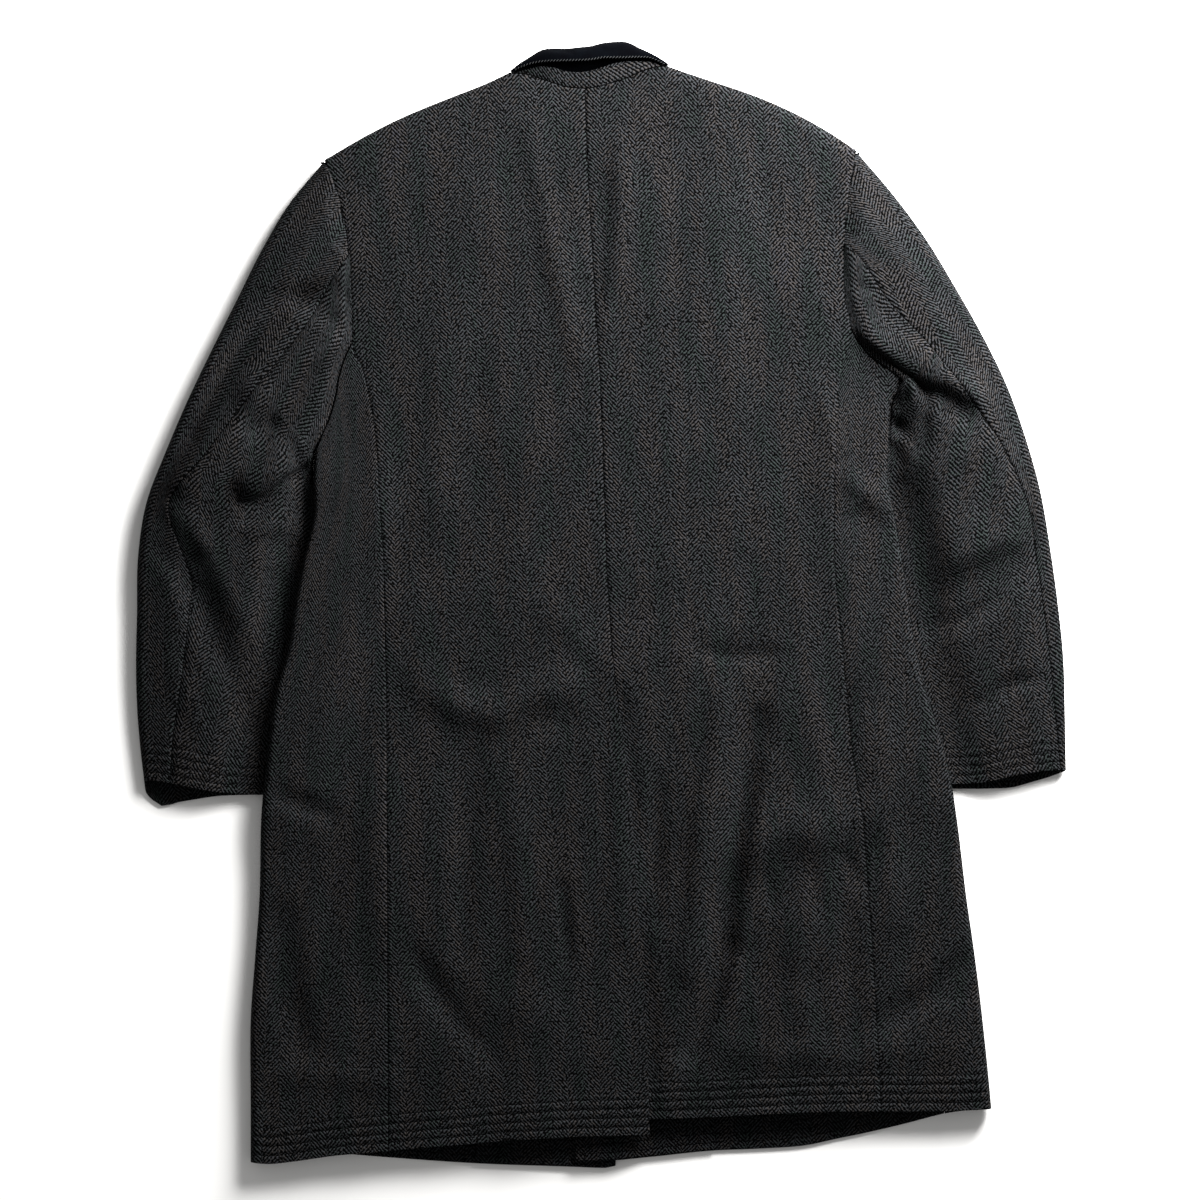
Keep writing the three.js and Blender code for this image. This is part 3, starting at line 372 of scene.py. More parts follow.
body = {name: curveOf(bodySections, "y", name) for name in bodySections[0] if name != "y"}
raisedBy = {side: curveOf(sleeveUnder, "y", side, False) for side in outward}
hemOf = {name: curveOf(hemLevels, "x", name) for name in hemLevels[0] if name != "x"}
depthNames = [name for name in sleeveSections[0] if name != "share"]
sleeveDepth = {name: curveOf(sleeveSections, "share", name, False) for name in depthNames}
cuffOf = {side: {layer: curveOf(cuffLevels[side], "x", layer) for layer in ("top", "floor")}
          for side in outward}


# A smooth line through points, read by share of its length
def smoothLine(points):
    points = [Vector(p) for p in points]
    ends = [points[0] * 2 - points[1]] + points + [points[-1] * 2 - points[-2]]
    path = [points[0]]
    for i in range(1, len(ends) - 2):
        p0, p1, p2, p3 = ends[i - 1:i + 3]
        d0, d1, d2 = ((b - a).length ** 0.5 for a, b in ((p0, p1), (p1, p2), (p2, p3)))
        m1 = ((p1 - p0) / d0 - (p2 - p0) / (d0 + d1) + (p2 - p1) / d1) * d1
        m2 = ((p2 - p1) / d1 - (p3 - p1) / (d1 + d2) + (p3 - p2) / d2) * d1
        for step in range(1, 21):
            t = step / 20
            path.append(p1 * (1 + 2 * t) * (1 - t) ** 2 + p2 * t * t * (3 - 2 * t)
                        + m1 * t * (1 - t) ** 2 - m2 * t * t * (1 - t))
    lengths = [0.0]
    for a, b in zip(path, path[1:]):
        lengths.append(lengths[-1] + (b - a).length)

    def at(share):
        want = clamp(share) * lengths[-1]
        i = min(len(path) - 2, max(0, bisect.bisect_right(lengths, want) - 1))
        return path[i].lerp(path[i + 1], (want - lengths[i]) / (lengths[i + 1] - lengths[i]))
    return at


lineOf = {side: {name: smoothLine(points) for name, points in shapes.items() if name != "hindAtPit"}
          for side, shapes in seamLines.items()}


# Points moved sideways, to the left of their direction where the distance is over 0
def moved(points, distance):
    result = []
    for i, point in enumerate(points):
        way = points[min(len(points) - 1, i + 1)] - points[max(0, i - 1)]
        by = distance(point) if callable(distance) else distance
        if way.length < 1e-6:
            result.append(point.copy())
        else:
            way.normalize()
            result.append(point + Vector((-way.y, way.x)) * by)
    return result


# How far a list of folds lifts or sinks the cloth at a place
def foldDepth(folds, x, y, sharp=False):
    total = 0.0
    for points, depth, reach in folds:
        best = reach
        place = 0.0
        count = len(points) - 1
        for i in range(count):
            ax, ay = points[i]
            bx, by = points[i + 1]
            if x < min(ax, bx) - best or x > max(ax, bx) + best:
                continue
            if y < min(ay, by) - best or y > max(ay, by) + best:
                continue
            dx = bx - ax
            dy = by - ay
            t = clamp(((x - ax) * dx + (y - ay) * dy) / (dx * dx + dy * dy))
            distance = math.hypot(x - ax - t * dx, y - ay - t * dy)
            if distance < best:
                best = distance
                place = (i + t) / count
        if best < reach:
            near = ease(1 - best / reach)
            if sharp:
                near = near ** 1.5 * (0.35 + 0.65 * math.sin(math.pi * clamp(0.12 + 0.76 * place)))
            total += depth * near
    return total


# The slight unevenness of pressed wool, drawn out up the cloth
def rumple(x, y):
    wide = noise.noise(Vector((x / 34, y / 95, 0.3)))
    fine = noise.noise(Vector((x / 13, y / 30, 7.7)))
    return cloth["rumple"] * (wide + 0.3 * fine)


# How far a list of overhanging folds pushes the cloth sideways at a place
def pushedBy(overhangs, x, y):
    shift = Vector((0, 0))
    for points, way, reach in overhangs:
        shift += Vector(way) * foldDepth([(points, 1.0, reach)], x, y, True)
    return shift


# Cloth that sinks comes softly to rest on the layers under it
def heldUp(full, relief):
    room = max(0.5, full - cloth["restHeight"])
    return relief if relief > 0 else -room * (1 - math.exp(relief / room))


def sideOf(x):
    return "left" if x < 0 else "right"


def floorHeight(x, y):
    side = sideOf(x)
    inside = (body[side + "Fold"](y) - x) * outward[side]
    return floorMid + 9.9 * raisedBy[side](y) * ease((92 - inside) / 44)


def backForm(x, y):
    share = clamp(x / body[sideOf(x) + "Fold"](y))
    raised = floorHeight(x, y) - floorMid
    crowned = body["height"](y) * (1 - 0.12 * share * share)
    return floorMid + crowned + 0.35 * raised + foldDepth(backFolds, x, y)


# The stitched band: four rows of stitching sink between soft ridges, next to the edge
band = {"rows": (8.0, 16.6, 25.4, 34.2), "groove": 0.95, "width": 1.5, "swell": 0.6}


def bandRelief(fromEdge):
    if fromEdge > band["rows"][-1] + 6:
        return 0.0
    relief = band["swell"] * ease((band["rows"][-1] + 5 - fromEdge) / 5)
    for row in band["rows"]:
        relief -= band["groove"] * math.exp(-((fromEdge - row) / band["width"]) ** 2)
    return relief


# Levels up a panel as shares: fine across the stitched band, even above it, fine again at the top
def levels(length, step, topStep=2.2, topZone=0):
    result = [0.0]
    while result[-1] < 46:
        result.append(result[-1] + 1.25)
    while result[-1] < length - topZone - step:
        result.append(result[-1] + step)
    count = max(1, round((length - result[-1]) / (topStep if topZone else step)))
    start = result[-1]
    result += [mix(start, length, i / count) for i in range(1, count + 1)]
    return [value / length for value in result]


# Shares of a width, fine at the seam ends and at a fold
def acrossPanel(width, step, fineStart=False, fineEnd=False):
    fine = [0, 0.7, 1.5, 2.5, 3.7]
    start = [value for value in fine if fineStart]
    end = [width - value for value in reversed(fine) if fineEnd]
    low = start[-1] if start else 0
    high = end[0] if end else width
    count = max(1, round((high - low) / step))
    middle = [mix(low, high, i / count) for i in range(count + 1)]
    return [value / width for value in start[:-1] + middle + end[1:]]


def fromFold(width, flats, arcs=6, reach=None):
    reach = reach or cloth["foldReach"]
    turn = [reach * (1 - math.cos(i / arcs * math.pi / 2)) / width for i in range(arcs + 1)]
    return turn + [mix(reach / width, 1, i / flats) for i in range(1, flats + 1)]


# Points between four edges, with shares across for each level
def net(left, right, bottom, top, shares, down):
    rows = []
    low = [left[0].lerp(right[0], u) for u in shares[0]]
    high = [left[-1].lerp(right[-1], u) for u in shares[-1]]
    for k, v in enumerate(down):
        row = []
        for j, u in enumerate(shares[k]):
            row.append(left[k].lerp(right[k], u) + bottom[j].lerp(top[j], v) - low[j].lerp(high[j], v))
        rows.append(row)
    return rows


# Cloth lengths for the weave: across from a start column, and up the rows
def grainOf(rows, startColumn, lengthwise=True):
    grain = []
    v = 0.0
    for k, row in enumerate(rows):
        if k and lengthwise:
            v += sum((a - b).length for a, b in zip(row, rows[k - 1])) / len(row)
        across = [0.0]
        for a, b in zip(row, row[1:]):
            across.append(across[-1] + (b - a).length)
        base = across[startColumn]
        grain.append([(u - base, v if lengthwise else place.y) for u, place in zip(across, row)])
    return grain


# Materials
def hexColour(code):
    values = [int(code[i:i + 2], 16) / 255 for i in (0, 2, 4)]
    return tuple(v / 12.92 if v <= 0.04045 else ((v + 0.055) / 1.055) ** 2.4 for v in values) + (1.0,)


def addNode(tree, kind, inputs=None, **settings):
    node = tree.nodes.new(kind)
    for name, value in settings.items():
        setattr(node, name, value)
    for socket, value in (inputs or {}).items():
        if isinstance(value, bpy.types.NodeSocket):
            tree.links.new(value, node.inputs[socket])
        else:
            node.inputs[socket].default_value = value
    return node


def newMaterial(name):
    material = bpy.data.materials.new(name)
    material.use_nodes = True
    material.node_tree.nodes.clear()
    return material, material.node_tree


def finishMaterial(tree, shader):
    addNode(tree, "ShaderNodeOutputMaterial", {"Surface": shader.outputs[0]})


wool = {
    "stripe": 0.0155,      # one leg of the herringbone
    "twill": 0.0039,       # twill line spacing up the cloth; the real 2.8 mm is too fine to show, so coarser
    "slope": 1.05,         # how fast a line climbs across a stripe
    "wander": 0.0016,
    "fleck": 1.1,          # how much single floats break the lines up
    "dark": "010101",      # the warp between the lines, then the weft and the hues it leans to
    "light": "27282a",
    "green": "242928",
    "brown": "2c2927",
    "purple": "28282b",
    "tone": (0.84, 1.16),  # darkest and lightest clouds of the nap
    "sheen": 0.004,
    "bump": 0.5,
}


# Woollen herringbone, woven with black warp and grey weft, which gives broken zigzag lines in upright
# stripes, and brushed, which makes it matt and a little hairy
def woolMaterial(name, spec):
    material, tree = newMaterial(name)
    grain = addNode(tree, "ShaderNodeUVMap", uv_map="grain")
    split = addNode(tree, "ShaderNodeSeparateXYZ", {0: grain.outputs[0]})
    across, along = split.outputs[0], split.outputs[1]
    # the yarn wanders a little
    wander = addNode(tree, "ShaderNodeTexNoise", {"Vector": grain.outputs[0], "Scale": 90.0, "Detail": 2.0})
    shift = addNode(tree, "ShaderNodeMath", {0: wander.outputs[0], 1: spec["wander"]}, operation="MULTIPLY")
    zigzag = addNode(tree, "ShaderNodeMath", {0: across, 1: spec["stripe"]}, operation="PINGPONG")
    leaned = addNode(tree, "ShaderNodeMath", {0: zigzag.outputs[0], 1: spec["slope"], 2: along},
                     operation="MULTIPLY_ADD")
    wandered = addNode(tree, "ShaderNodeMath", {0: leaned.outputs[0], 1: shift.outputs[0]}, operation="ADD")
    phase = addNode(tree, "ShaderNodeMath", {0: wandered.outputs[0], 1: 2 * math.pi / spec["twill"]},
                    operation="MULTIPLY")
    # the lines break where a stripe turns, by half a line
    stripe = addNode(tree, "ShaderNodeMath", {0: across, 1: spec["stripe"]}, operation="DIVIDE")
    whole = addNode(tree, "ShaderNodeMath", {0: stripe.outputs[0]}, operation="FLOOR")
    broken = addNode(tree, "ShaderNodeMath", {0: whole.outputs[0], 1: math.pi, 2: phase.outputs[0]},
                     operation="MULTIPLY_ADD")
    wave = addNode(tree, "ShaderNodeMath", {0: broken.outputs[0]}, operation="SINE")
    # single floats of yarn show as grains along each line
    yarn = addNode(tree, "ShaderNodeTexNoise", {"Vector": grain.outputs[0], "Scale": 480.0, "Detail": 2.0})
    fleck = addNode(tree, "ShaderNodeMapRange", {
        "Value": yarn.outputs[0], "From Min": 0.35, "From Max": 0.65,
        "To Min": -spec["fleck"], "To Max": spec["fleck"]}, clamp=False)
    height = addNode(tree, "ShaderNodeMath", {0: wave.outputs[0], 1: fleck.outputs[0]}, operation="ADD")
    lightShare = addNode(tree, "ShaderNodeMapRange", {"Value": height.outputs[0], "From Min": -0.1,
                                                      "From Max": 0.7}, interpolation_type="SMOOTHSTEP")
    # heather: the wool leans to green, brown or purple in long soft streaks and in single floats
    drawn = addNode(tree, "ShaderNodeMapping", {"Vector": grain.outputs[0], "Scale": (1.0, 0.22, 1.0)})
    streak = addNode(tree, "ShaderNodeTexNoise", {"Vector": drawn.outputs[0], "Scale": 46.0, "Detail": 3.0})
    floats = addNode(tree, "ShaderNodeTexNoise", {"Vector": grain.outputs[0], "Scale": 330.0, "Detail": 1.0})
    hue = addNode(tree, "ShaderNodeMix", {0: 0.42, 2: streak.outputs[0], 3: floats.outputs[0]})
    ramp = addNode(tree, "ShaderNodeValToRGB", {"Fac": hue.outputs[0]})
    stops = [(0.4, spec["green"]), (0.46, spec["light"]), (0.52, spec["light"]), (0.57, spec["brown"]),
             (0.63, spec["purple"])]
    while len(ramp.color_ramp.elements) < len(stops):
        ramp.color_ramp.elements.new(0.5)
    for element, (place, colour) in zip(ramp.color_ramp.elements, stops):
        element.position = place
        element.color = hexColour(colour)
    colour = addNode(tree, "ShaderNodeMix", {0: lightShare.outputs[0], 6: hexColour(spec["dark"]),
                                             7: ramp.outputs[0]}, data_type="RGBA")
    # brushed nap and uneven dyeing lie in soft streaks and clouds over the cloth
    cloud = addNode(tree, "ShaderNodeTexNoise", {"Vector": grain.outputs[0], "Scale": 14.0, "Detail": 4.0})
    nap = addNode(tree, "ShaderNodeMath", {0: cloud.outputs[0], 1: streak.outputs[0]}, operation="ADD")
    tone = addNode(tree, "ShaderNodeMapRange", {"Value": nap.outputs[0], "From Min": 0.75, "From Max": 1.25,
                                                "To Min": spec["tone"][0], "To Max": spec["tone"][1]})
    shaded = addNode(tree, "ShaderNodeVectorMath", {0: colour.outputs[2], 1: tone.outputs[0]},
                     operation="MULTIPLY")
    bump = addNode(tree, "ShaderNodeBump", {"Height": height.outputs[0], "Strength": spec["bump"],
                                            "Distance": 0.0004})
    shader = addNode(tree, "ShaderNodeBsdfPrincipled", {
        "Base Color": shaded.outputs[0], "Roughness": 0.95, "Specular IOR Level": 0.02,
        "Sheen Weight": spec["sheen"], "Sheen Roughness": 0.5, "Normal": bump.outputs[0]})
    shader.inputs["Sheen Tint"].default_value = hexColour("8b8d92")
    finishMaterial(tree, shader)
    return material


# Cut-pile velvet: near black face on, a cold blue bloom where the pile is seen from the side
def velvetMaterial(name):
    material, tree = newMaterial(name)
    place = addNode(tree, "ShaderNodeTexCoord")
    here = place.outputs["Object"]
    pile = addNode(tree, "ShaderNodeTexNoise", {"Vector": here, "Scale": 1600.0, "Detail": 2.0})
    brushed = addNode(tree, "ShaderNodeTexNoise", {"Vector": here, "Scale": 60.0, "Detail": 3.0})
    mixed = addNode(tree, "ShaderNodeMath", {0: pile.outputs[0], 1: brushed.outputs[0]}, operation="MULTIPLY")
    ramp = addNode(tree, "ShaderNodeValToRGB", {"Fac": mixed.outputs[0]})
    ramp.color_ramp.elements[0].position = 0.15
    ramp.color_ramp.elements[0].color = hexColour("010102")
    ramp.color_ramp.elements[1].position = 0.4
    ramp.color_ramp.elements[1].color = hexColour("020305")
    bump = addNode(tree, "ShaderNodeBump", {"Height": pile.outputs[0], "Strength": 0.3, "Distance": 0.0004})
    shader = addNode(tree, "ShaderNodeBsdfPrincipled", {
        "Base Color": ramp.outputs[0], "Roughness": 1.0, "Specular IOR Level": 0.02,
        "Sheen Weight": 0.012, "Sheen Roughness": 0.3, "Normal": bump.outputs[0]})
    shader.inputs["Sheen Tint"].default_value = hexColour("7f8da6")
    finishMaterial(tree, shader)
    return material


# Spun sewing thread: thin, slightly shiny, twisted
def threadMaterial(name, colour, gloss):
    material, tree = newMaterial(name)
    place = addNode(tree, "ShaderNodeTexCoord")
    twist = addNode(tree, "ShaderNodeTexNoise", {"Vector": place.outputs["Object"], "Scale": 2500.0})
    bump = addNode(tree, "ShaderNodeBump", {"Height": twist.outputs[0], "Strength": 0.4, "Distance": 0.0002})
    shader = addNode(tree, "ShaderNodeBsdfPrincipled", {
        "Base Color": hexColour(colour), "Roughness": 0.8, "Specular IOR Level": gloss,
        "Normal": bump.outputs[0]})
    finishMaterial(tree, shader)
    return material


herringboneWool = woolMaterial("herringboneWool", wool)
collarVelvet = velvetMaterial("collarVelvet")
# dark sewing thread for the stitching, also used for the seam cords, where it paints the shade down in each
# seam
darkThreadAndSeamShade = threadMaterial("darkThreadAndSeamShade", "020202", 0.0)
paleThread = threadMaterial("paleThread", "303132", 0.05)


def deselectAll():
    if bpy.context.object and bpy.context.object.mode != "OBJECT":
        bpy.ops.object.mode_set(mode="OBJECT")
    bpy.ops.object.select_all(action="DESELECT")


def applyModifier(piece, name, kind, **settings):
    modifier = piece.modifiers.new(name, kind)
    for key, value in settings.items():
        setattr(modifier, key, value)
    bpy.context.view_layer.objects.active = piece
    bpy.ops.object.modifier_apply(modifier=name)


# A flat grid laid onto rows of places, with the weave's own map
def layGrid(rows, grain):
    deselectAll()
    bpy.ops.mesh.primitive_grid_add(x_subdivisions=len(rows[0]) - 1, y_subdivisions=len(rows) - 1, size=1)
    piece = bpy.context.object
    mesh = piece.data
    mesh.vertices.foreach_set("co", [value for row in rows for place in row
                                     for value in (place[0] * mm, place[1] * mm + frameShift, place[2] * mm)])
    mesh.uv_layers[0].name = "grain"
    flat = [pair for row in grain for pair in row]
    corners = [0] * len(mesh.loops)
    mesh.loops.foreach_get("vertex_index", corners)
    mesh.uv_layers[0].data.foreach_set("uv", [value * mm for corner in corners for value in flat[corner]])
    mesh.update()
    return piece


# One or more grids sewn to one sheet, given the cloth's thickness and rounded rims
def makeSheet(name, node, parts, wall, material, rim=0.6):
    grids = [layGrid(rows, grain) for rows, grain in parts]
    deselectAll()
    for grid in grids:
        grid.select_set(True)
    piece = grids[0]
    bpy.context.view_layer.objects.active = piece
    if len(grids) > 1:
        bpy.ops.object.join()
    bpy.ops.object.mode_set(mode="EDIT")
    bpy.ops.mesh.select_all(action="SELECT")
    bpy.ops.mesh.remove_doubles(threshold=0.00002)
    bpy.ops.mesh.normals_make_consistent(inside=False)
    bpy.ops.object.mode_set(mode="OBJECT")
    applyModifier(piece, "thickness", "SOLIDIFY", thickness=wall * mm, offset=0.0, use_rim=True)
    applyModifier(piece, "rim", "BEVEL", width=rim * mm, segments=2, limit_method="ANGLE",
                  angle_limit=math.radians(62))
    bpy.ops.object.shade_smooth()
    piece.name = name
    piece.data.name = name
    piece.data.materials.clear()
    piece.data.materials.append(material)
    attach(piece, "root")
    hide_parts(node)
    print("made", name, len(piece.data.polygons), "faces")
    return piece


# Rolls an edge down into its seam
def seamDip(distance):
    return cloth["seamDip"] * (1 - turnShare(distance, cloth["seamRoll"]))


# Points along a hem between the x of two others
def alongHem(start, end, shares, hemAt):
    return [Vector((x, hemAt(x))) for x in (mix(start.x, end.x, u) for u in shares)]


# Where a seam bends away to the armhole's corner: at the end of its rise
def cornerBend(rise):
    return ease((rise - bodyPanel["cornerFrom"]) / (1 - bodyPanel["cornerFrom"]))


bodyPanel = {
    "nearHem": -500,         # the level where outlines are read for a hem
    "armholeFrom": 0.8,      # the share of a back's or front's height where the armhole starts
    "cornerFrom": 0.97,
    "underBend": 12,         # how late the seam underneath bends to the armpit
    "foldFoot": {"left": -534, "right": -483},
    "neckLevel": 493,
}
armholeFrom = bodyPanel["armholeFrom"]
nearHem = bodyPanel["nearHem"]
# The vent: where it opens, over what height it widens, the underlap's width, and where the lap lies
vent = {"top": -56, "taper": 43, "underlap": 42, "lapFrom": 17, "lapEase": 14}


# One half of the back
def makeBack(side, spec):
    way = outward[side]
    hem = hemOf[side + "Back"]
    lines = seamLines[side]
    line = lineOf[side]
    seamTop = Vector(lines["sideArm"][0])
    seamX = body[side + "Seam"]
    foot = hem(46 if side == "left" else 4)
    neckY = bodyPanel["neckLevel"]
    down = levels(neckY - foot, spec["rowStep"], 1.6, 14)
    outer = []
    for v in down:
        if v < armholeFrom:
            rise = v / armholeFrom
            y = mix(hem(seamX(nearHem)), seamTop.y, rise)
            outer.append(Vector((mix(seamX(y), seamTop.x, cornerBend(rise)), y)))
        else:
            outer.append(line["backArm"](1 - (v - armholeFrom) / (1 - armholeFrom)))
    outer = moved(outer, way * cloth["seamHalf"])

    def extra(y):
        widened = ease((vent["top"] - vent["taper"] - y) / vent["taper"])
        return 0 if side == "left" else -vent["underlap"] * widened

    inner = []
    for v in down:
        y = mix(foot, neckY, v)
        inner.append(Vector((body["centre"](y) + way * cloth["seamHalf"] + extra(y), y)))
    across = acrossPanel(250, spec["columnStep"], True, True)
    neckShare = 4 / 13
    top = []
    for u in across:
        if u < neckShare:
            top.append(line["neck"](1 - u / neckShare))
        else:
            top.append(line["shoulder"](1 - (u - neckShare) / (1 - neckShare)))
    top = [point + Vector((0, -floorMid if u > neckShare else -0.3)) for point, u in zip(top, across)]
    top[0] = inner[-1]
    top[-1] = outer[-1]
    bottom = alongHem(inner[0], outer[0], across, hem)
    inner[0] = bottom[0].copy()
    outer[0] = Vector((outer[0].x, hem(outer[0].x)))
    bottom[-1] = outer[0].copy()
    plan = net(inner, outer, bottom, top, [across] * len(down), down)
    rows = []
    last = len(across) - 1
    lapDrop = cloth["solidWall"] + cloth["layerGap"] + 0.3
    for flat in plan:
        row = []
        for j, point in enumerate(flat):
            x, y = point
            rounding = ease((across[j] * 13 - 4 + 0.5) / 1.5)
            turn = mix(1, turnShare((point - top[j]).length, cloth["shoulderReach"]), rounding)
            full = backForm(x, y)
            middle = (full + floorMid) / 2 + 0.7
            lap = 0.0
            if side == "right":
                opened = ease((vent["top"] - y) / vent["taper"])
                lap = opened * ease((body["centre"](y) + vent["lapFrom"] - x) / vent["lapEase"])
            relief = heldUp(full, foldDepth(backCreases, x, y, True)) + bandRelief(y - hem(x)) + rumple(x, y)
            fromSeam = (point - flat[last]).length
            dip = seamDip(fromSeam)
            fromCentre = (point - flat[0]).length
            if y > vent["top"]:
                dip += seamDip(fromCentre) * ease((y - vent["top"]) / 14)
            dip += seamDip((point - top[j]).length) * (1 - rounding)
            row.append(Vector((x, y, mix(middle, full, turn) - lapDrop * lap + relief * turn - dip * turn)))
        rows.append(row)
    grain = [[(place.x - body["centre"](place.y), place.y) for place in row] for row in rows]
    return rows, grain


# A side panel: from its seam on the back round the fold to its seam underneath
def makeSide(side, spec):
    way = outward[side]
    hem = hemOf[side + "Back"]
    frontHem = hemOf[side + "Front"]
    lines = seamLines[side]
    line = lineOf[side]
    seamX = body[side + "Seam"]
    foldX = body[side + "Fold"]
    pit = Vector(lines["sideArm"][-1])
    seamTop = Vector(lines["sideArm"][0])
    underTop = Vector(lines["underArm"][0])
    down = levels(700, spec["rowStep"], 2.5, 20)
    seamFoot = hem(seamX(nearHem))
    underX = foldX(nearHem) - way * cloth["sideReturn"]
    seam, fold, under = [], [], []
    for v in down:
        y = mix(seamFoot, seamTop.y, v)
        seam.append(Vector((mix(seamX(y), seamTop.x, cornerBend(v)), y)))
        y = mix(bodyPanel["foldFoot"][side], pit.y, v)
        fold.append(Vector((foldX(y) - way * floorMid, y)))
        y = mix(frontHem(underX), underTop.y, v)
        bend = v ** bodyPanel["underBend"]
        under.append(Vector((mix(foldX(y) - way * cloth["sideReturn"], underTop.x, bend), y)))
    seam = moved(seam, -way * cloth["seamHalf"])
    under = moved(under, -way * cloth["seamHalf"])
    flats = spec["flats"]

    def shareSet(width, count):
        shares = fromFold(width, count)
        fine = [1 - value / width for value in (3.7, 2.5, 1.5, 0.7)]
        return [u for u in shares[:-1] if u < 1 - 5 / width] + fine + [1.0]

    topShares = shareSet(120, flats)
    floorShares = shareSet(cloth["sideReturn"], 8)

    def edges(shares, other, hemAt, head):
        foot = alongHem(fold[0], other[0], shares, hemAt)
        foot[0] = fold[0]
        foot[-1] = other[0]
        crown = [line[head](1 - u) for u in shares]
        crown = moved(crown, way * cloth["seamHalf"])
        crown[0] = fold[-1]
        crown[-1] = other[-1]
        return foot, crown

    footTop, headTop = edges(topShares, seam, hem, "sideArm")
    footFloor, headFloor = edges(floorShares, under, frontHem, "underArm")
    upperNet = net(fold, seam, footTop, headTop, [topShares] * len(down), down)
    lowerNet = net(fold, under, footFloor, headFloor, [floorShares] * len(down), down)

    def place(point, k, upper):
        x, y = point
        turn = turnShare((point - fold[k]).length, cloth["foldReach"])
        high = backForm(x, y)
        low = floorHeight(x, y)
        if upper:
            crease = heldUp(high, foldDepth(backCreases, x, y, True))
            high += (crease + bandRelief(y - hem(x)) + rumple(x, y)) * turn
            high -= seamDip((point - seam[k]).length)
        return Vector((x, y, mix((high + low) / 2, high if upper else low, turn)))

    rows = []
    for k in range(len(down)):
        upper = [place(point, k, True) for point in upperNet[k]]
        lower = [place(point, k, False) for point in lowerNet[k]]
        rows.append(list(reversed(upper)) + lower[1:])
    grain = grainOf(rows, 0, False)
    return rows, [[(way * u + row[0].x, v) for u, v in line] for line, row in zip(grain, rows)]


# The front edges: straight up, then over to the neck
frontEdge = {"left": 14, "right": -25, "straightTo": 150, "bend": 120}


def frontEdgeAt(side, y):
    neckX, neckY = seamLines[side]["shoulder"][-1]
    above = y - frontEdge["straightTo"]
    rolled = ease(above / frontEdge["bend"]) * (above / (neckY - frontEdge["straightTo"]))
    return mix(frontEdge[side], neckX, clamp(rolled))


# The right front climbs over the left one where they overlap
def frontHeight(side, x, y):
    if side == "left":
        return floorHeight(x, y)
    rise = cloth["solidWall"] + cloth["facingSolid"] + 2 * cloth["layerGap"]
    beyond = (x - frontEdgeAt("left", y) - 4) / 24
    return floorHeight(x, y) + rise * (1 - clamp(beyond))


# One front, on the floor under the back
def makeFront(side, spec):
    way = outward[side]
    hem = hemOf[side + "Front"]
    line = lineOf[side]
    foldX = body[side + "Fold"]
    underTop = Vector(seamLines[side]["underArm"][0])
    underX = foldX(nearHem) - way * cloth["sideReturn"]
    neck = Vector(seamLines[side]["shoulder"][-1])
    foot = hem(frontEdgeAt(side, nearHem))
    down = levels(neck.y - foot, spec["rowStep"], 2.5, 14)
    outer = []
    for v in down:
        if v < armholeFrom:
            rise = v / armholeFrom
            y = mix(hem(underX), underTop.y, rise)
            bend = rise ** bodyPanel["underBend"]
            outer.append(Vector((mix(foldX(y) - way * cloth["sideReturn"], underTop.x, bend), y)))
        else:
            outer.append(line["frontArm"](1 - (v - armholeFrom) / (1 - armholeFrom)))
    outer = moved(outer, way * cloth["seamHalf"])
    inner = [Vector((frontEdgeAt(side, mix(foot, neck.y, v)), mix(foot, neck.y, v))) for v in down]
    across = acrossPanel(280, spec["columnStep"])
    top = [line["shoulder"](1 - u) + Vector((0, -floorMid)) for u in across]
    bottom = alongHem(inner[0], outer[0], across, hem)
    bottom[0] = inner[0]
    bottom[-1] = outer[0]
    top[0] = inner[-1]
    top[-1] = outer[-1]
    rows = []
    for flat in net(inner, outer, bottom, top, [across] * len(down), down):
        row = []
        for j, point in enumerate(flat):
            x, y = point
            turn = turnShare((point - top[j]).length, cloth["shoulderReach"])
            low = frontHeight(side, x, y)
            middle = (backForm(x, y) + floorMid) / 2 - 0.7
            relief = max(-0.25, bandRelief(y - hem(x)) * 0.7) * turn * 0.6
            row.append(Vector((x, y, mix(max(middle, low), low, turn) + relief)))
        rows.append(row)
    grain = [[(place.x, place.y) for place in row] for row in rows]
    return rows, grain


# One facing, inside the front's edge
def makeFacing(side, spec):
    way = outward[side]
    hem = hemOf[side + "Front"]
    edgeX = frontEdgeAt(side, 0)
    width = spec["width"]
    across = [0.8 / width] + acrossPanel(width, spec["columnStep"], False, True)[1:]
    down = levels(680, spec["rowStep"])
    away = (cloth["solidWall"] + cloth["facingSolid"]) / 2 + cloth["layerGap"]
    rows = []
    for v in down:
        row = []
        for u in across:
            x = edgeX + way * width * u
            y = mix(hem(x) + 1.2, spec["top"], v)
            slope = (frontHeight(side, x + 3, y) - frontHeight(side, x - 3, y)) / 6
            size = math.hypot(1, slope)
            relief = max(-0.2, bandRelief(y - hem(x)) * 0.5)
            row.append(Vector((x - slope / size * away, y, frontHeight(side, x, y) + away / size + relief)))
        rows.append(row)
    grain = [[(place.x, place.y) for place in row] for row in rows]
    return rows, grain


# Rows down a sleeve, from the shoulder tip: where its hind and fore seams leave the armhole, where the
# side body takes over from the back, the armpit and the cuff
hindRow, sideRow, foreRow, pitRow, cuffRow = 4, 6, 9, 12, 24


def listAt(values, k):
    i = min(len(values) - 2, max(0, int(k)))
    return mix(values[i], values[i + 1], k - i)


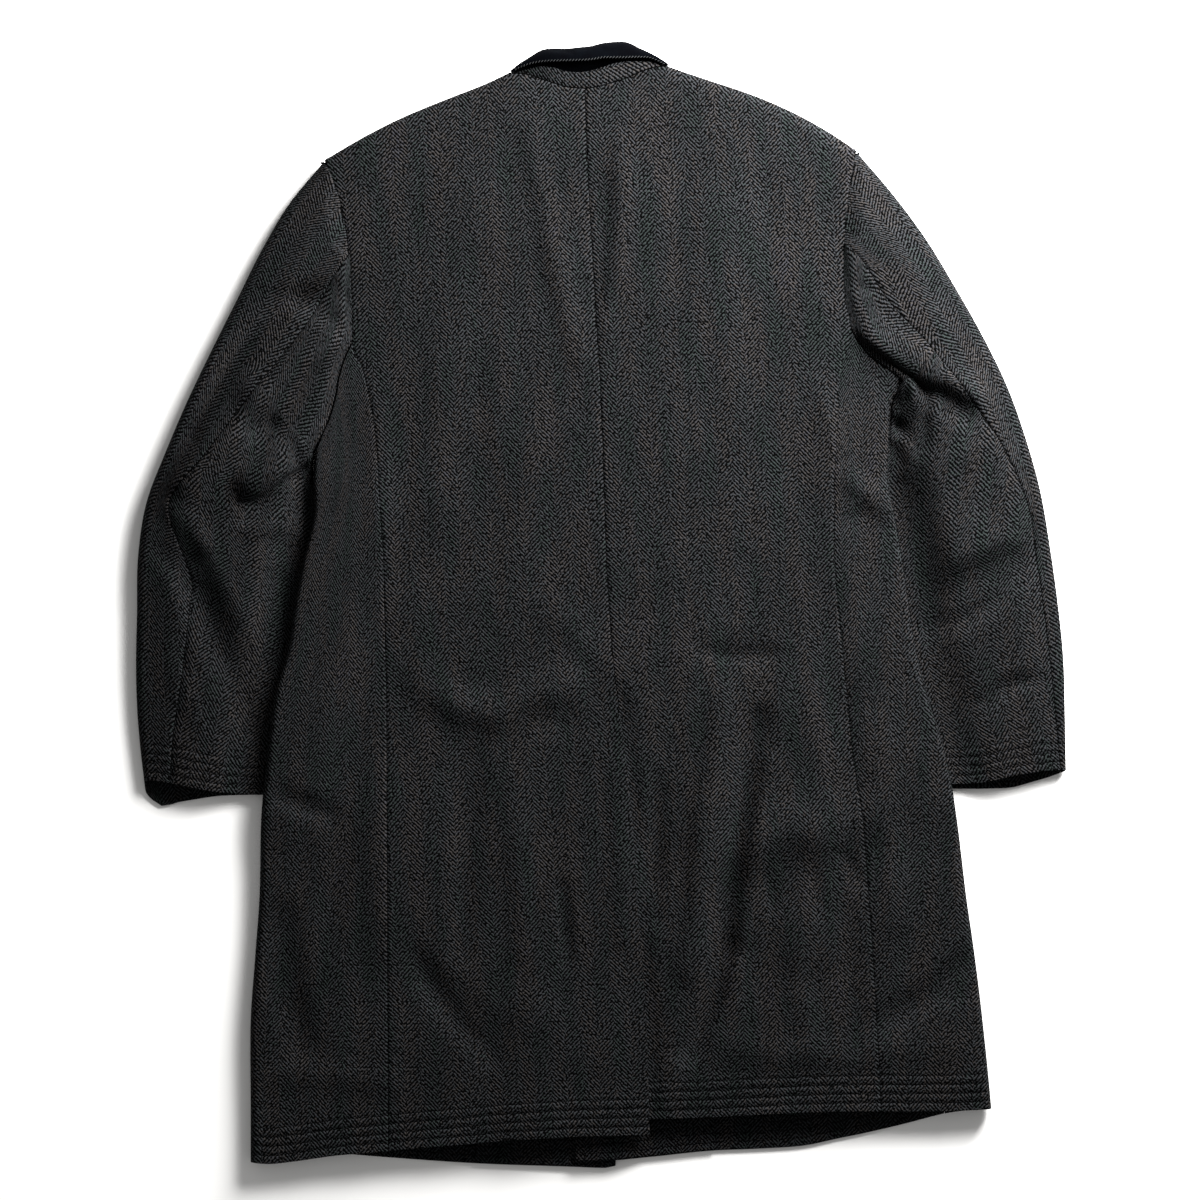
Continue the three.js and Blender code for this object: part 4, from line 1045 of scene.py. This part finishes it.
# The lines that a sleeve's cloth runs between, each by row
def sleeveLines(side):
    way = outward[side]
    lines = seamLines[side]
    line = lineOf[side]
    pit = Vector(lines["sideArm"][-1])
    tipPoint = Vector(lines["outer"][0])
    pitShare = 0.305
    # shares down the armhole at each row: two near the tip, by their distance down the back, then quarters
    backLength = 960
    armShares = [1.0] + [1 - place / backLength / (1 - armholeFrom) for place in (5.5, 12)]
    armShares += [armShares[-1] * part / 4 for part in (3, 2, 1, 0)]

    def flatShares(width):
        reach = cloth["foldReach"] / width
        return [mix(reach, 1, i / 5) for i in range(5, -1, -1)] + [0]

    sideWidth = (pit - Vector(lines["sideArm"][0])).length * 1.04
    underWidth = (pit - Vector(lines["underArm"][0])).length * 1.02
    sideShares = flatShares(sideWidth)
    underShares = flatShares(underWidth)

    def away(point):
        near = 1 - ease((point - pit).length / 26)
        tip = 1 - ease((point - tipPoint).length / 8)
        return way * (0.4 + 1.7 * near + 1.2 * tip)

    def rawHead(k, arm, sideName, shares):
        if k <= sideRow:
            return line[arm](1 - listAt(armShares, k))
        return line[sideName](1 - listAt(shares, k - sideRow))

    def headAt(k, arm, sideName, shares):
        k = min(pitRow, max(0, k))
        point = rawHead(k, arm, sideName, shares)
        a = rawHead(max(0, k - 0.1), arm, sideName, shares)
        b = rawHead(min(pitRow, k + 0.1), arm, sideName, shares)
        direction = (b - a).normalized()
        return point + Vector((-direction.y, direction.x)) * away(point)

    def headTopAt(k):
        return headAt(k, "backArm", "sideArm", sideShares)

    def headFloorAt(k):
        return headAt(k, "frontArm", "underArm", underShares)

    lengths = [0.0]
    for k in range(pitRow):
        lengths.append(lengths[-1] + (headTopAt(k + 1) - headTopAt(k)).length)

    def outerShare(k):
        if k < pitRow:
            return pitShare * listAt(lengths, k) / lengths[-1]
        return mix(pitShare, 1, (k - pitRow) / (cuffRow - pitRow))

    def outerRaw(k):
        share = outerShare(k)
        point = line["outer"](share)
        direction = (line["outer"](share + 0.004) - line["outer"](share - 0.004)).normalized()
        return point + Vector((-direction.y, direction.x)) * (-way * floorMid)

    third = outerRaw(3)
    tip = headTopAt(0)
    tip = tip.lerp(third, 3.4 / (third - tip).length)

    def outerAt(k):
        return tip.lerp(outerRaw(1), k) if k < 1 else outerRaw(k)

    def innerBelow(k):
        return line["inner"]((k - pitRow) / (cuffRow - pitRow))

    def innerAt(k, head):
        if k < 1:
            return tip.lerp(head(1), k)
        return head(k).lerp(innerBelow(pitRow), ease(k - pitRow + 1)) if k < pitRow else innerBelow(k)

    def innerTopAt(k):
        return innerAt(k, headTopAt)

    def innerFloorAt(k):
        return innerAt(k, headFloorAt)

    def hindAt(k):
        if k < hindRow:
            return innerTopAt(k)
        share = lines["hindAtPit"] * (k - hindRow) / (pitRow - hindRow)
        if k >= pitRow:
            share = mix(lines["hindAtPit"], 1, (k - pitRow) / (cuffRow - pitRow))
        return innerTopAt(hindRow).lerp(line["hind"](share), ease((k - hindRow) / 0.8))

    def foreFull(k):
        wide = (outerAt(k) - innerFloorAt(k)).length
        return innerFloorAt(k).lerp(outerAt(k), 26 / max(26, wide))

    def foreAt(k):
        if k <= foreRow:
            return innerFloorAt(k)
        if k < pitRow:
            return innerFloorAt(foreRow).lerp(foreFull(pitRow), (k - foreRow) / (pitRow - foreRow))
        return foreFull(k)

    return {"outer": outerAt, "innerTop": innerTopAt, "innerFloor": innerFloorAt,
            "hind": hindAt, "fore": foreAt}


# One sleeve: the top sleeve round its outer fold, and the under sleeve's two sides of the inner fold
def makeSleeve(side, spec):
    farAway = Vector((1e4, 1e4))
    cuffs = cuffOf[side]
    at = sleeveLines(side)
    rowPlaces = []
    k = 0.0
    while k < cuffRow - 1.75:
        rowPlaces.append(k)
        k += spec["rowShare"] if k > 2 else 0.2
    count = round((cuffRow - rowPlaces[-1]) / 0.046)
    start = rowPlaces[-1]
    rowPlaces += [mix(start, cuffRow, i / count) for i in range(1, count + 1)]

    def height(point, k, upper, outerPoint, innerPoint, seamPoint):
        x, y = point
        share = (k - pitRow) / (cuffRow - pitRow)
        crown = sleeveDepth["crown"](share)
        joined = 1 - ease((point - innerPoint).length / 22) * ease(k / 2)
        atHead = joined if k < pitRow else joined * (1 - ease((k - pitRow + 1) / 1.5))
        fromOuter = (point - outerPoint).length
        fromInner = (point - innerPoint).length
        risen = ease((fromInner - sleeveDepth["tuck"](share)) / 46)
        outerEase = ease(fromOuter / 40)
        below = ease((k - pitRow) / 0.8)
        inner = mix(crown, sleeveDepth["inner"](share), below)
        plain = mix(inner, crown, risen) - (crown - sleeveDepth["outer"](share)) * (1 - outerEase)
        free = outerEase * mix(1, risen, below)
        folded = plain + foldDepth(sleeveFolds[side], x, y) * free
        high = floorMid + mix(folded, backForm(x, y) - floorMid, atHead)
        outerTurn = turnShare(fromOuter, mix(cloth["shoulderReach"], 7, ease(k / pitRow)))
        innerReach = mix(cloth["foldReach"], 4, ease((k - pitRow) / 2))
        innerTurn = 1 if k < pitRow else turnShare(fromInner, innerReach)
        turn = min(outerTurn, innerTurn)
        if upper:
            nearPit = ease((k - pitRow + 3.5) / 3.5)
            loose = ease(fromOuter / 24) * mix(ease(fromInner / 14), max(0.7, risen), nearPit)
            high += (foldDepth(sleeveCreases[side], x, y, True) + rumple(x, y)) * loose
            high += bandRelief(y - cuffs["top"](x)) * turn
            high -= seamDip((point - seamPoint).length)
            if k < pitRow:
                high -= seamDip(fromInner) * 0.8
            level = mix((high + floorMid) / 2, high, turn)
            return max(floorMid + 2.4, level) if turn > 0.9 else level
        return mix((high + floorMid) / 2, floorMid, turn)

    def strip(firstRow, fold, other, layer, reach, flats, arcs):
        rows = [k for k in rowPlaces if k >= firstRow]
        if rows[0] > firstRow + 1e-6:
            rows.insert(0, float(firstRow))
        down = [(k - firstRow) / (cuffRow - firstRow) for k in rows]
        left = [at[fold](k) for k in rows]
        right = [at[other](k) for k in rows]
        left[-1] = Vector((left[-1].x, cuffs["top"](left[-1].x)))
        right[-1] = Vector((right[-1].x, cuffs[layer](right[-1].x)))
        widths = [max(1.0, (a - b).length) for a, b in zip(left, right)]
        shares = [fromFold(width, flats, arcs, min(width * 0.4, reach)) for width in widths]
        head = [left[0].lerp(right[0], u) for u in shares[0]]
        foot = alongHem(left[-1], right[-1], shares[-1], cuffs[layer])
        foot[0] = left[-1]
        foot[-1] = right[-1]
        places = []
        for k, row in zip(rows, net(left, right, head, foot, shares, down)):
            outerPoint = at["outer"](k)
            innerPoint = at["innerTop"](k)
            hindPoint = at["hind"](k)
            seamPoint = hindPoint if k > hindRow + 0.4 else farAway
            line = []
            for p in row:
                z = height(p, k, layer == "top", outerPoint, innerPoint, seamPoint)
                shift = pushedBy(sleeveOverhangs[side], p.x, p.y) if layer == "top" else Vector((0, 0))
                shift *= ease((p - innerPoint).length / 14) * ease((p - outerPoint).length / 20)
                line.append(Vector((p.x + shift.x, p.y + shift.y, z)))
            places.append(line)
        return places

    topUpper = strip(0, "outer", "hind", "top", 7, spec["columns"], 6)
    topLower = strip(0, "outer", "fore", "floor", 7, 14, 6)
    whole = [list(reversed(a)) + b[1:] for a, b in zip(topUpper, topLower)]
    underUpper = strip(hindRow, "innerTop", "hind", "top", 4, spec["columns"] // 2, 5)
    underLower = strip(foreRow, "innerFloor", "fore", "floor", 4, 8, 5)
    return ((whole, grainOf(whole, len(topUpper[0]) - 1)), (underUpper, grainOf(underUpper, 0)),
            (underLower, grainOf(underLower, 0)))


# The stand rolls over into a hollow, and the fall turns back up over it
def makeCollar(spec):
    xs = [mix(-86, 64, i / spec["columns"]) for i in range(spec["columns"] + 1)]
    at = {name: curveOf(collarSections, "x", name) for name in collarSections[0] if name != "x"}
    standRows, fallRows = [], []
    for x in xs:
        neck, roll, edge, outline = (at[name](x) for name in ("neck", "roll", "edge", "outline"))
        neckHeight = floorMid + at["depth"](x) - 1.3
        low = 1.3 + neckHeight * 0.22
        guide = [(x, neck + 0.2, neckHeight - 0.6), (x, neck + 1.4, neckHeight + 0.3),
                 (x, mix(neck, roll, 0.5), neckHeight + 0.5),
                 (x, roll - 1.2, neckHeight - 0.3), (x, roll - 0.6, mix(neckHeight, low, 0.2)),
                 (x, roll - 1.8, mix(neckHeight, low, 0.5)), (x, roll - 2.6, mix(neckHeight, low, 0.95))]
        run = smoothLine(guide)
        standRows.append([run(i / 24) for i in range(25)])
        high = neckHeight + 4.6
        low = 1.3 + neckHeight * 0.2
        reach = outline - 1.1 - edge
        middle = (high + low) / 2
        guide = [(x, roll - 1.2, mix(1.5, low, 0.3)), (x, mix(roll, outline, 0.3), 1.7),
                 (x, mix(roll, outline, 0.6), 1.6)]
        for degrees in (-68, -45, -22, 0, 24, 48, 72, 90):
            angle = math.radians(degrees)
            guide.append((x, outline - 1.1 - reach * 0.6 * (1 - math.cos(angle)),
                          middle + (high - low) / 2 * math.sin(angle)))
        guide.append((x, edge, high - 0.5))
        run = smoothLine(guide)
        fallRows.append([run(i / 48) for i in range(49)])
    # a small tuck in the velvet, and its uneven crushed fold
    for row in fallRows:
        for place in row:
            tuck = foldDepth([([(-48, 530), (-27, 527)], -1.0, 3.4), ([(5, 533), (22, 536)], 0.8, 5)],
                             place.x, place.y)
            place.z += tuck if place.z > 12 else 0
    return (standRows, grainOf(standRows, 0)), (fallRows, grainOf(fallRows, 0))


panels = {
    "back": {"rowStep": 4.2, "columnStep": 4.2},
    "side": {"rowStep": 4.6, "flats": 26},
    "front": {"rowStep": 9, "columnStep": 9},
    "facing": {"rowStep": 9, "columnStep": 7, "width": 134, "top": 144},
    "sleeve": {"rowShare": 0.14, "columns": 46},
    "collar": {"columns": 90},
}

# Each sheet's rows of places, kept for the stitching and seam cords laid on it
layout = {}


for side in ("left", "right"):
    for kind, build in (("back", makeBack), ("side", makeSide), ("front", makeFront), ("facing", makeFacing)):
        node = kind + "_" + side
        rows, grain = build(side, panels[kind])
        layout[node] = rows
        wall = cloth["facingWall"] if kind == "facing" else cloth["clothWall"]
        piece = makeSheet("cloth_" + node, node, [(rows, grain)], wall, herringboneWool)
    topSleeve, innerUpper, innerLower = makeSleeve(side, panels["sleeve"])
    for kind, parts in (("top_sleeve", [topSleeve]), ("under_sleeve", [innerUpper, innerLower])):
        node = kind + "_" + side
        layout[node] = list(reversed(parts[0][0]))
        piece = makeSheet("cloth_" + node, node, parts, cloth["clothWall"], herringboneWool)

stand, fall = makeCollar(panels["collar"])
piece = makeSheet("cloth_collar_stand", "collar_stand", [stand], cloth["standWall"], herringboneWool, 0.4)
piece = makeSheet("velvet_collar_fall", "collar_fall", [fall], cloth["velvetWall"], collarVelvet, 0.5)

print("cloth laid")

# Rows of running stitches along hems and cuffs, and the whip stitches of the velvet's edge
stitches = {
    "running": {"length": 2.6, "pitch": 3.6, "thick": 0.34, "lean": 0},
    "whip": {"length": 3.8, "pitch": 3.0, "thick": 0.42, "lean": 38},
}


# The points of a sheet that lie at one distance from its edge, lifted onto its face
def placesAt(rows, columns, edgeAt, distance, lift):
    places = []
    for j in columns:
        line = [row[j] for row in rows]
        for low, high in zip(line, line[1:]):
            a = low.y - edgeAt(low.x) - distance
            b = high.y - edgeAt(high.x) - distance
            if (a < 0) != (b < 0):
                place = low.lerp(high, a / (a - b))
                places.append(place + Vector((0, 0, lift)))
                break
    return places


# One stitch, repeated along a curve and bent to it
def stitchRow(places, spec, material):
    curve = bpy.data.curves.new("stitchGuide", "CURVE")
    curve.dimensions = "3D"
    spline = curve.splines.new("POLY")
    spline.points.add(len(places) - 1)
    for point, place in zip(spline.points, places):
        point.co = (place.x * mm, place.y * mm + frameShift, place.z * mm, 1)
    guide = bpy.data.objects.new("stitchGuide", curve)
    bpy.context.collection.objects.link(guide)
    deselectAll()
    bpy.ops.mesh.primitive_uv_sphere_add(segments=6, ring_count=4, radius=mm / 2)
    piece = bpy.context.object
    piece.scale = (spec["thick"] * 2, spec["thick"] * 2, spec["length"])
    piece.rotation_euler = (0, math.radians(90), math.radians(spec["lean"]))
    piece.location = (spec["pitch"] * mm / 2, 0, 0)
    bpy.ops.object.transform_apply(location=True, rotation=True, scale=True)
    applyModifier(piece, "repeat", "ARRAY", fit_type="FIT_CURVE", curve=guide, use_relative_offset=False,
                  use_constant_offset=True, constant_offset_displace=(spec["pitch"] * mm, 0, 0))
    applyModifier(piece, "bend", "CURVE", object=guide, deform_axis="POS_X")
    bpy.ops.object.shade_smooth()
    piece.data.materials.append(material)
    bpy.data.objects.remove(guide)
    return piece


# Rows of stitches joined to one piece that rides with the coat
def joinStitches(rows, name):
    deselectAll()
    for row in rows:
        row.select_set(True)
    bpy.context.view_layer.objects.active = rows[0]
    bpy.ops.object.join()
    rows[0].name = name
    rows[0].data.name = name
    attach(rows[0], "root")
    print("made", name, len(rows[0].data.polygons), "faces")


# The four rows of one panel's stitched band
def stitchEdge(node, edgeAt, columns, name):
    spec = stitches["running"]
    lift = cloth["facingWall" if node.startswith("facing") else "clothWall"] / 2
    rows = []
    for distance in band["rows"]:
        places = placesAt(layout[node], columns, edgeAt, distance, lift)
        rows.append(stitchRow(places, spec, darkThreadAndSeamShade))
    joinStitches(rows, name)


for side in ("left", "right"):
    hem = hemOf[side + "Back"]
    frontHem = hemOf[side + "Front"]
    cuff = cuffOf[side]["top"]
    # the panel, the edge that its band follows, the first column with stitches, the end, and the name
    for kind, edgeAt, start, end, name in (
            ("back", hem, 1, None, "back"), ("side", hem, 0, panels["side"]["flats"] + 3, "side"),
            ("front", frontHem, 1, None, "front"), ("facing", frontHem, 0, None, "facing"),
            ("top_sleeve", cuff, 0, panels["sleeve"]["columns"] + 1, "cuff_top"),
            ("under_sleeve", cuff, 4, None, "cuff_under")):
        node = kind + "_" + side
        columns = range(len(layout[node][0]))[start:end]
        stitchEdge(node, edgeAt, columns, "stitches_" + name + "_" + side)


# The thread and shade down in a seam, one thin cord
def seamCord(name, places):
    curve = bpy.data.curves.new(name, "CURVE")
    curve.dimensions = "3D"
    curve.bevel_depth = cloth["cord"] * mm
    curve.bevel_resolution = 1
    curve.use_fill_caps = True
    spline = curve.splines.new("POLY")
    spline.points.add(len(places) - 1)
    for point, place in zip(spline.points, places):
        point.co = (place.x * mm, place.y * mm + frameShift, (place.z + cloth["cordLift"]) * mm, 1)
    piece = bpy.data.objects.new(name, curve)
    bpy.context.collection.objects.link(piece)
    deselectAll()
    piece.select_set(True)
    bpy.context.view_layer.objects.active = piece
    bpy.ops.object.convert(target="MESH")
    piece = bpy.context.object
    piece.data.materials.append(darkThreadAndSeamShade)
    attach(piece, "root")
    print("made", name, len(piece.data.polygons), "faces")


neckMiddle = seamLines["left"]["neck"][-1][0]
neckHalf = {"left": 76, "right": 80}
for side in ("left", "right"):
    half = Vector((outward[side] * cloth["seamHalf"], 0, 0))
    back = layout["back_" + side]
    panel = layout["side_" + side]
    neckCount = sum(1 for place in back[-1] if abs(place.x - neckMiddle) < neckHalf[side])
    rise = Vector((0, cloth["seamHalf"], 0))
    seamCord("seam_side_back_" + side, [row[-1] + half for row in back[1:-1]])
    seamCord("seam_side_arm_" + side, [place + rise for place in panel[-1][:-16]])
    seamCord("seam_neck_" + side, [place + Vector((0, 0.4, 0)) for place in back[-1][:neckCount]])
    hind = [row[0] for row in layout["top_sleeve_" + side]]
    under = [row[-1] for row in layout["under_sleeve_" + side]]
    seamCord("seam_sleeve_" + side, [a.lerp(b, 0.5) for a, b in zip(hind, under)][2:-2])
centreRows = zip(layout["back_left"], layout["back_right"])
seamCord("seam_centre_back", [a[0].lerp(b[0], 0.5) for a, b in centreRows if a[0].y > -60])

whipPlaces = [row[-1] + Vector((0, -0.3, 0.7)) for row in fall[0][2:-2]]
joinStitches([stitchRow(whipPlaces, stitches["whip"], paleThread)], "stitches_collar_edge")
print("stitching done")

# Floor, light and camera
studio = {
    "cameraHeight": 5.0,
    "middle": (-0.001, 0.0048),
    "pictureWidth": 1.152,
    "sensor": 36,
    "key": {"place": (0.74, 0.97, 0.56), "aim": (0.15, 0.45, 0), "size": 0.9, "power": 132},
    "floor": "fbfaf8",
    "floorWidth": 12,
    "floorDrop": 0.0004,
    "world": 0.3,
}


def makeStudio(spec):
    bpy.context.scene.view_settings.view_transform = "Standard"
    bpy.context.scene.view_settings.look = "None"
    deselectAll()
    bpy.ops.mesh.primitive_plane_add(size=spec["floorWidth"], location=(0, 0, -spec["floorDrop"]))
    floor = bpy.context.object
    floor.name = "studioFloor"
    material, tree = newMaterial("matPaperFloor")
    shader = addNode(tree, "ShaderNodeBsdfPrincipled", {"Base Color": hexColour(spec["floor"]),
                                                        "Roughness": 0.9})
    finishMaterial(tree, shader)
    floor.data.materials.append(material)
    lamp = spec["key"]
    bpy.ops.object.light_add(type="AREA", location=lamp["place"])
    light = bpy.context.object
    light.name = "keySoftbox"
    light.data.energy = lamp["power"]
    light.data.size = lamp["size"]
    light.visible_camera = False
    light.rotation_euler = (Vector(lamp["aim"]) - Vector(lamp["place"])).to_track_quat("-Z", "Y").to_euler()
    world = bpy.data.worlds.new("studioWorld")
    world.use_nodes = True
    world.node_tree.nodes["Background"].inputs[0].default_value = (1, 1, 1, 1)
    world.node_tree.nodes["Background"].inputs[1].default_value = spec["world"]
    bpy.context.scene.world = world
    bpy.ops.object.camera_add(location=(*spec["middle"], spec["cameraHeight"]), rotation=(0, 0, 0))
    camera = bpy.context.object
    camera.name = "overheadCamera"
    camera.data.sensor_width = spec["sensor"]
    camera.data.lens = spec["sensor"] * spec["cameraHeight"] / spec["pictureWidth"]
    camera.data.dof.use_dof = False
    bpy.context.scene.camera = camera


makeStudio(studio)
print("studio ready")
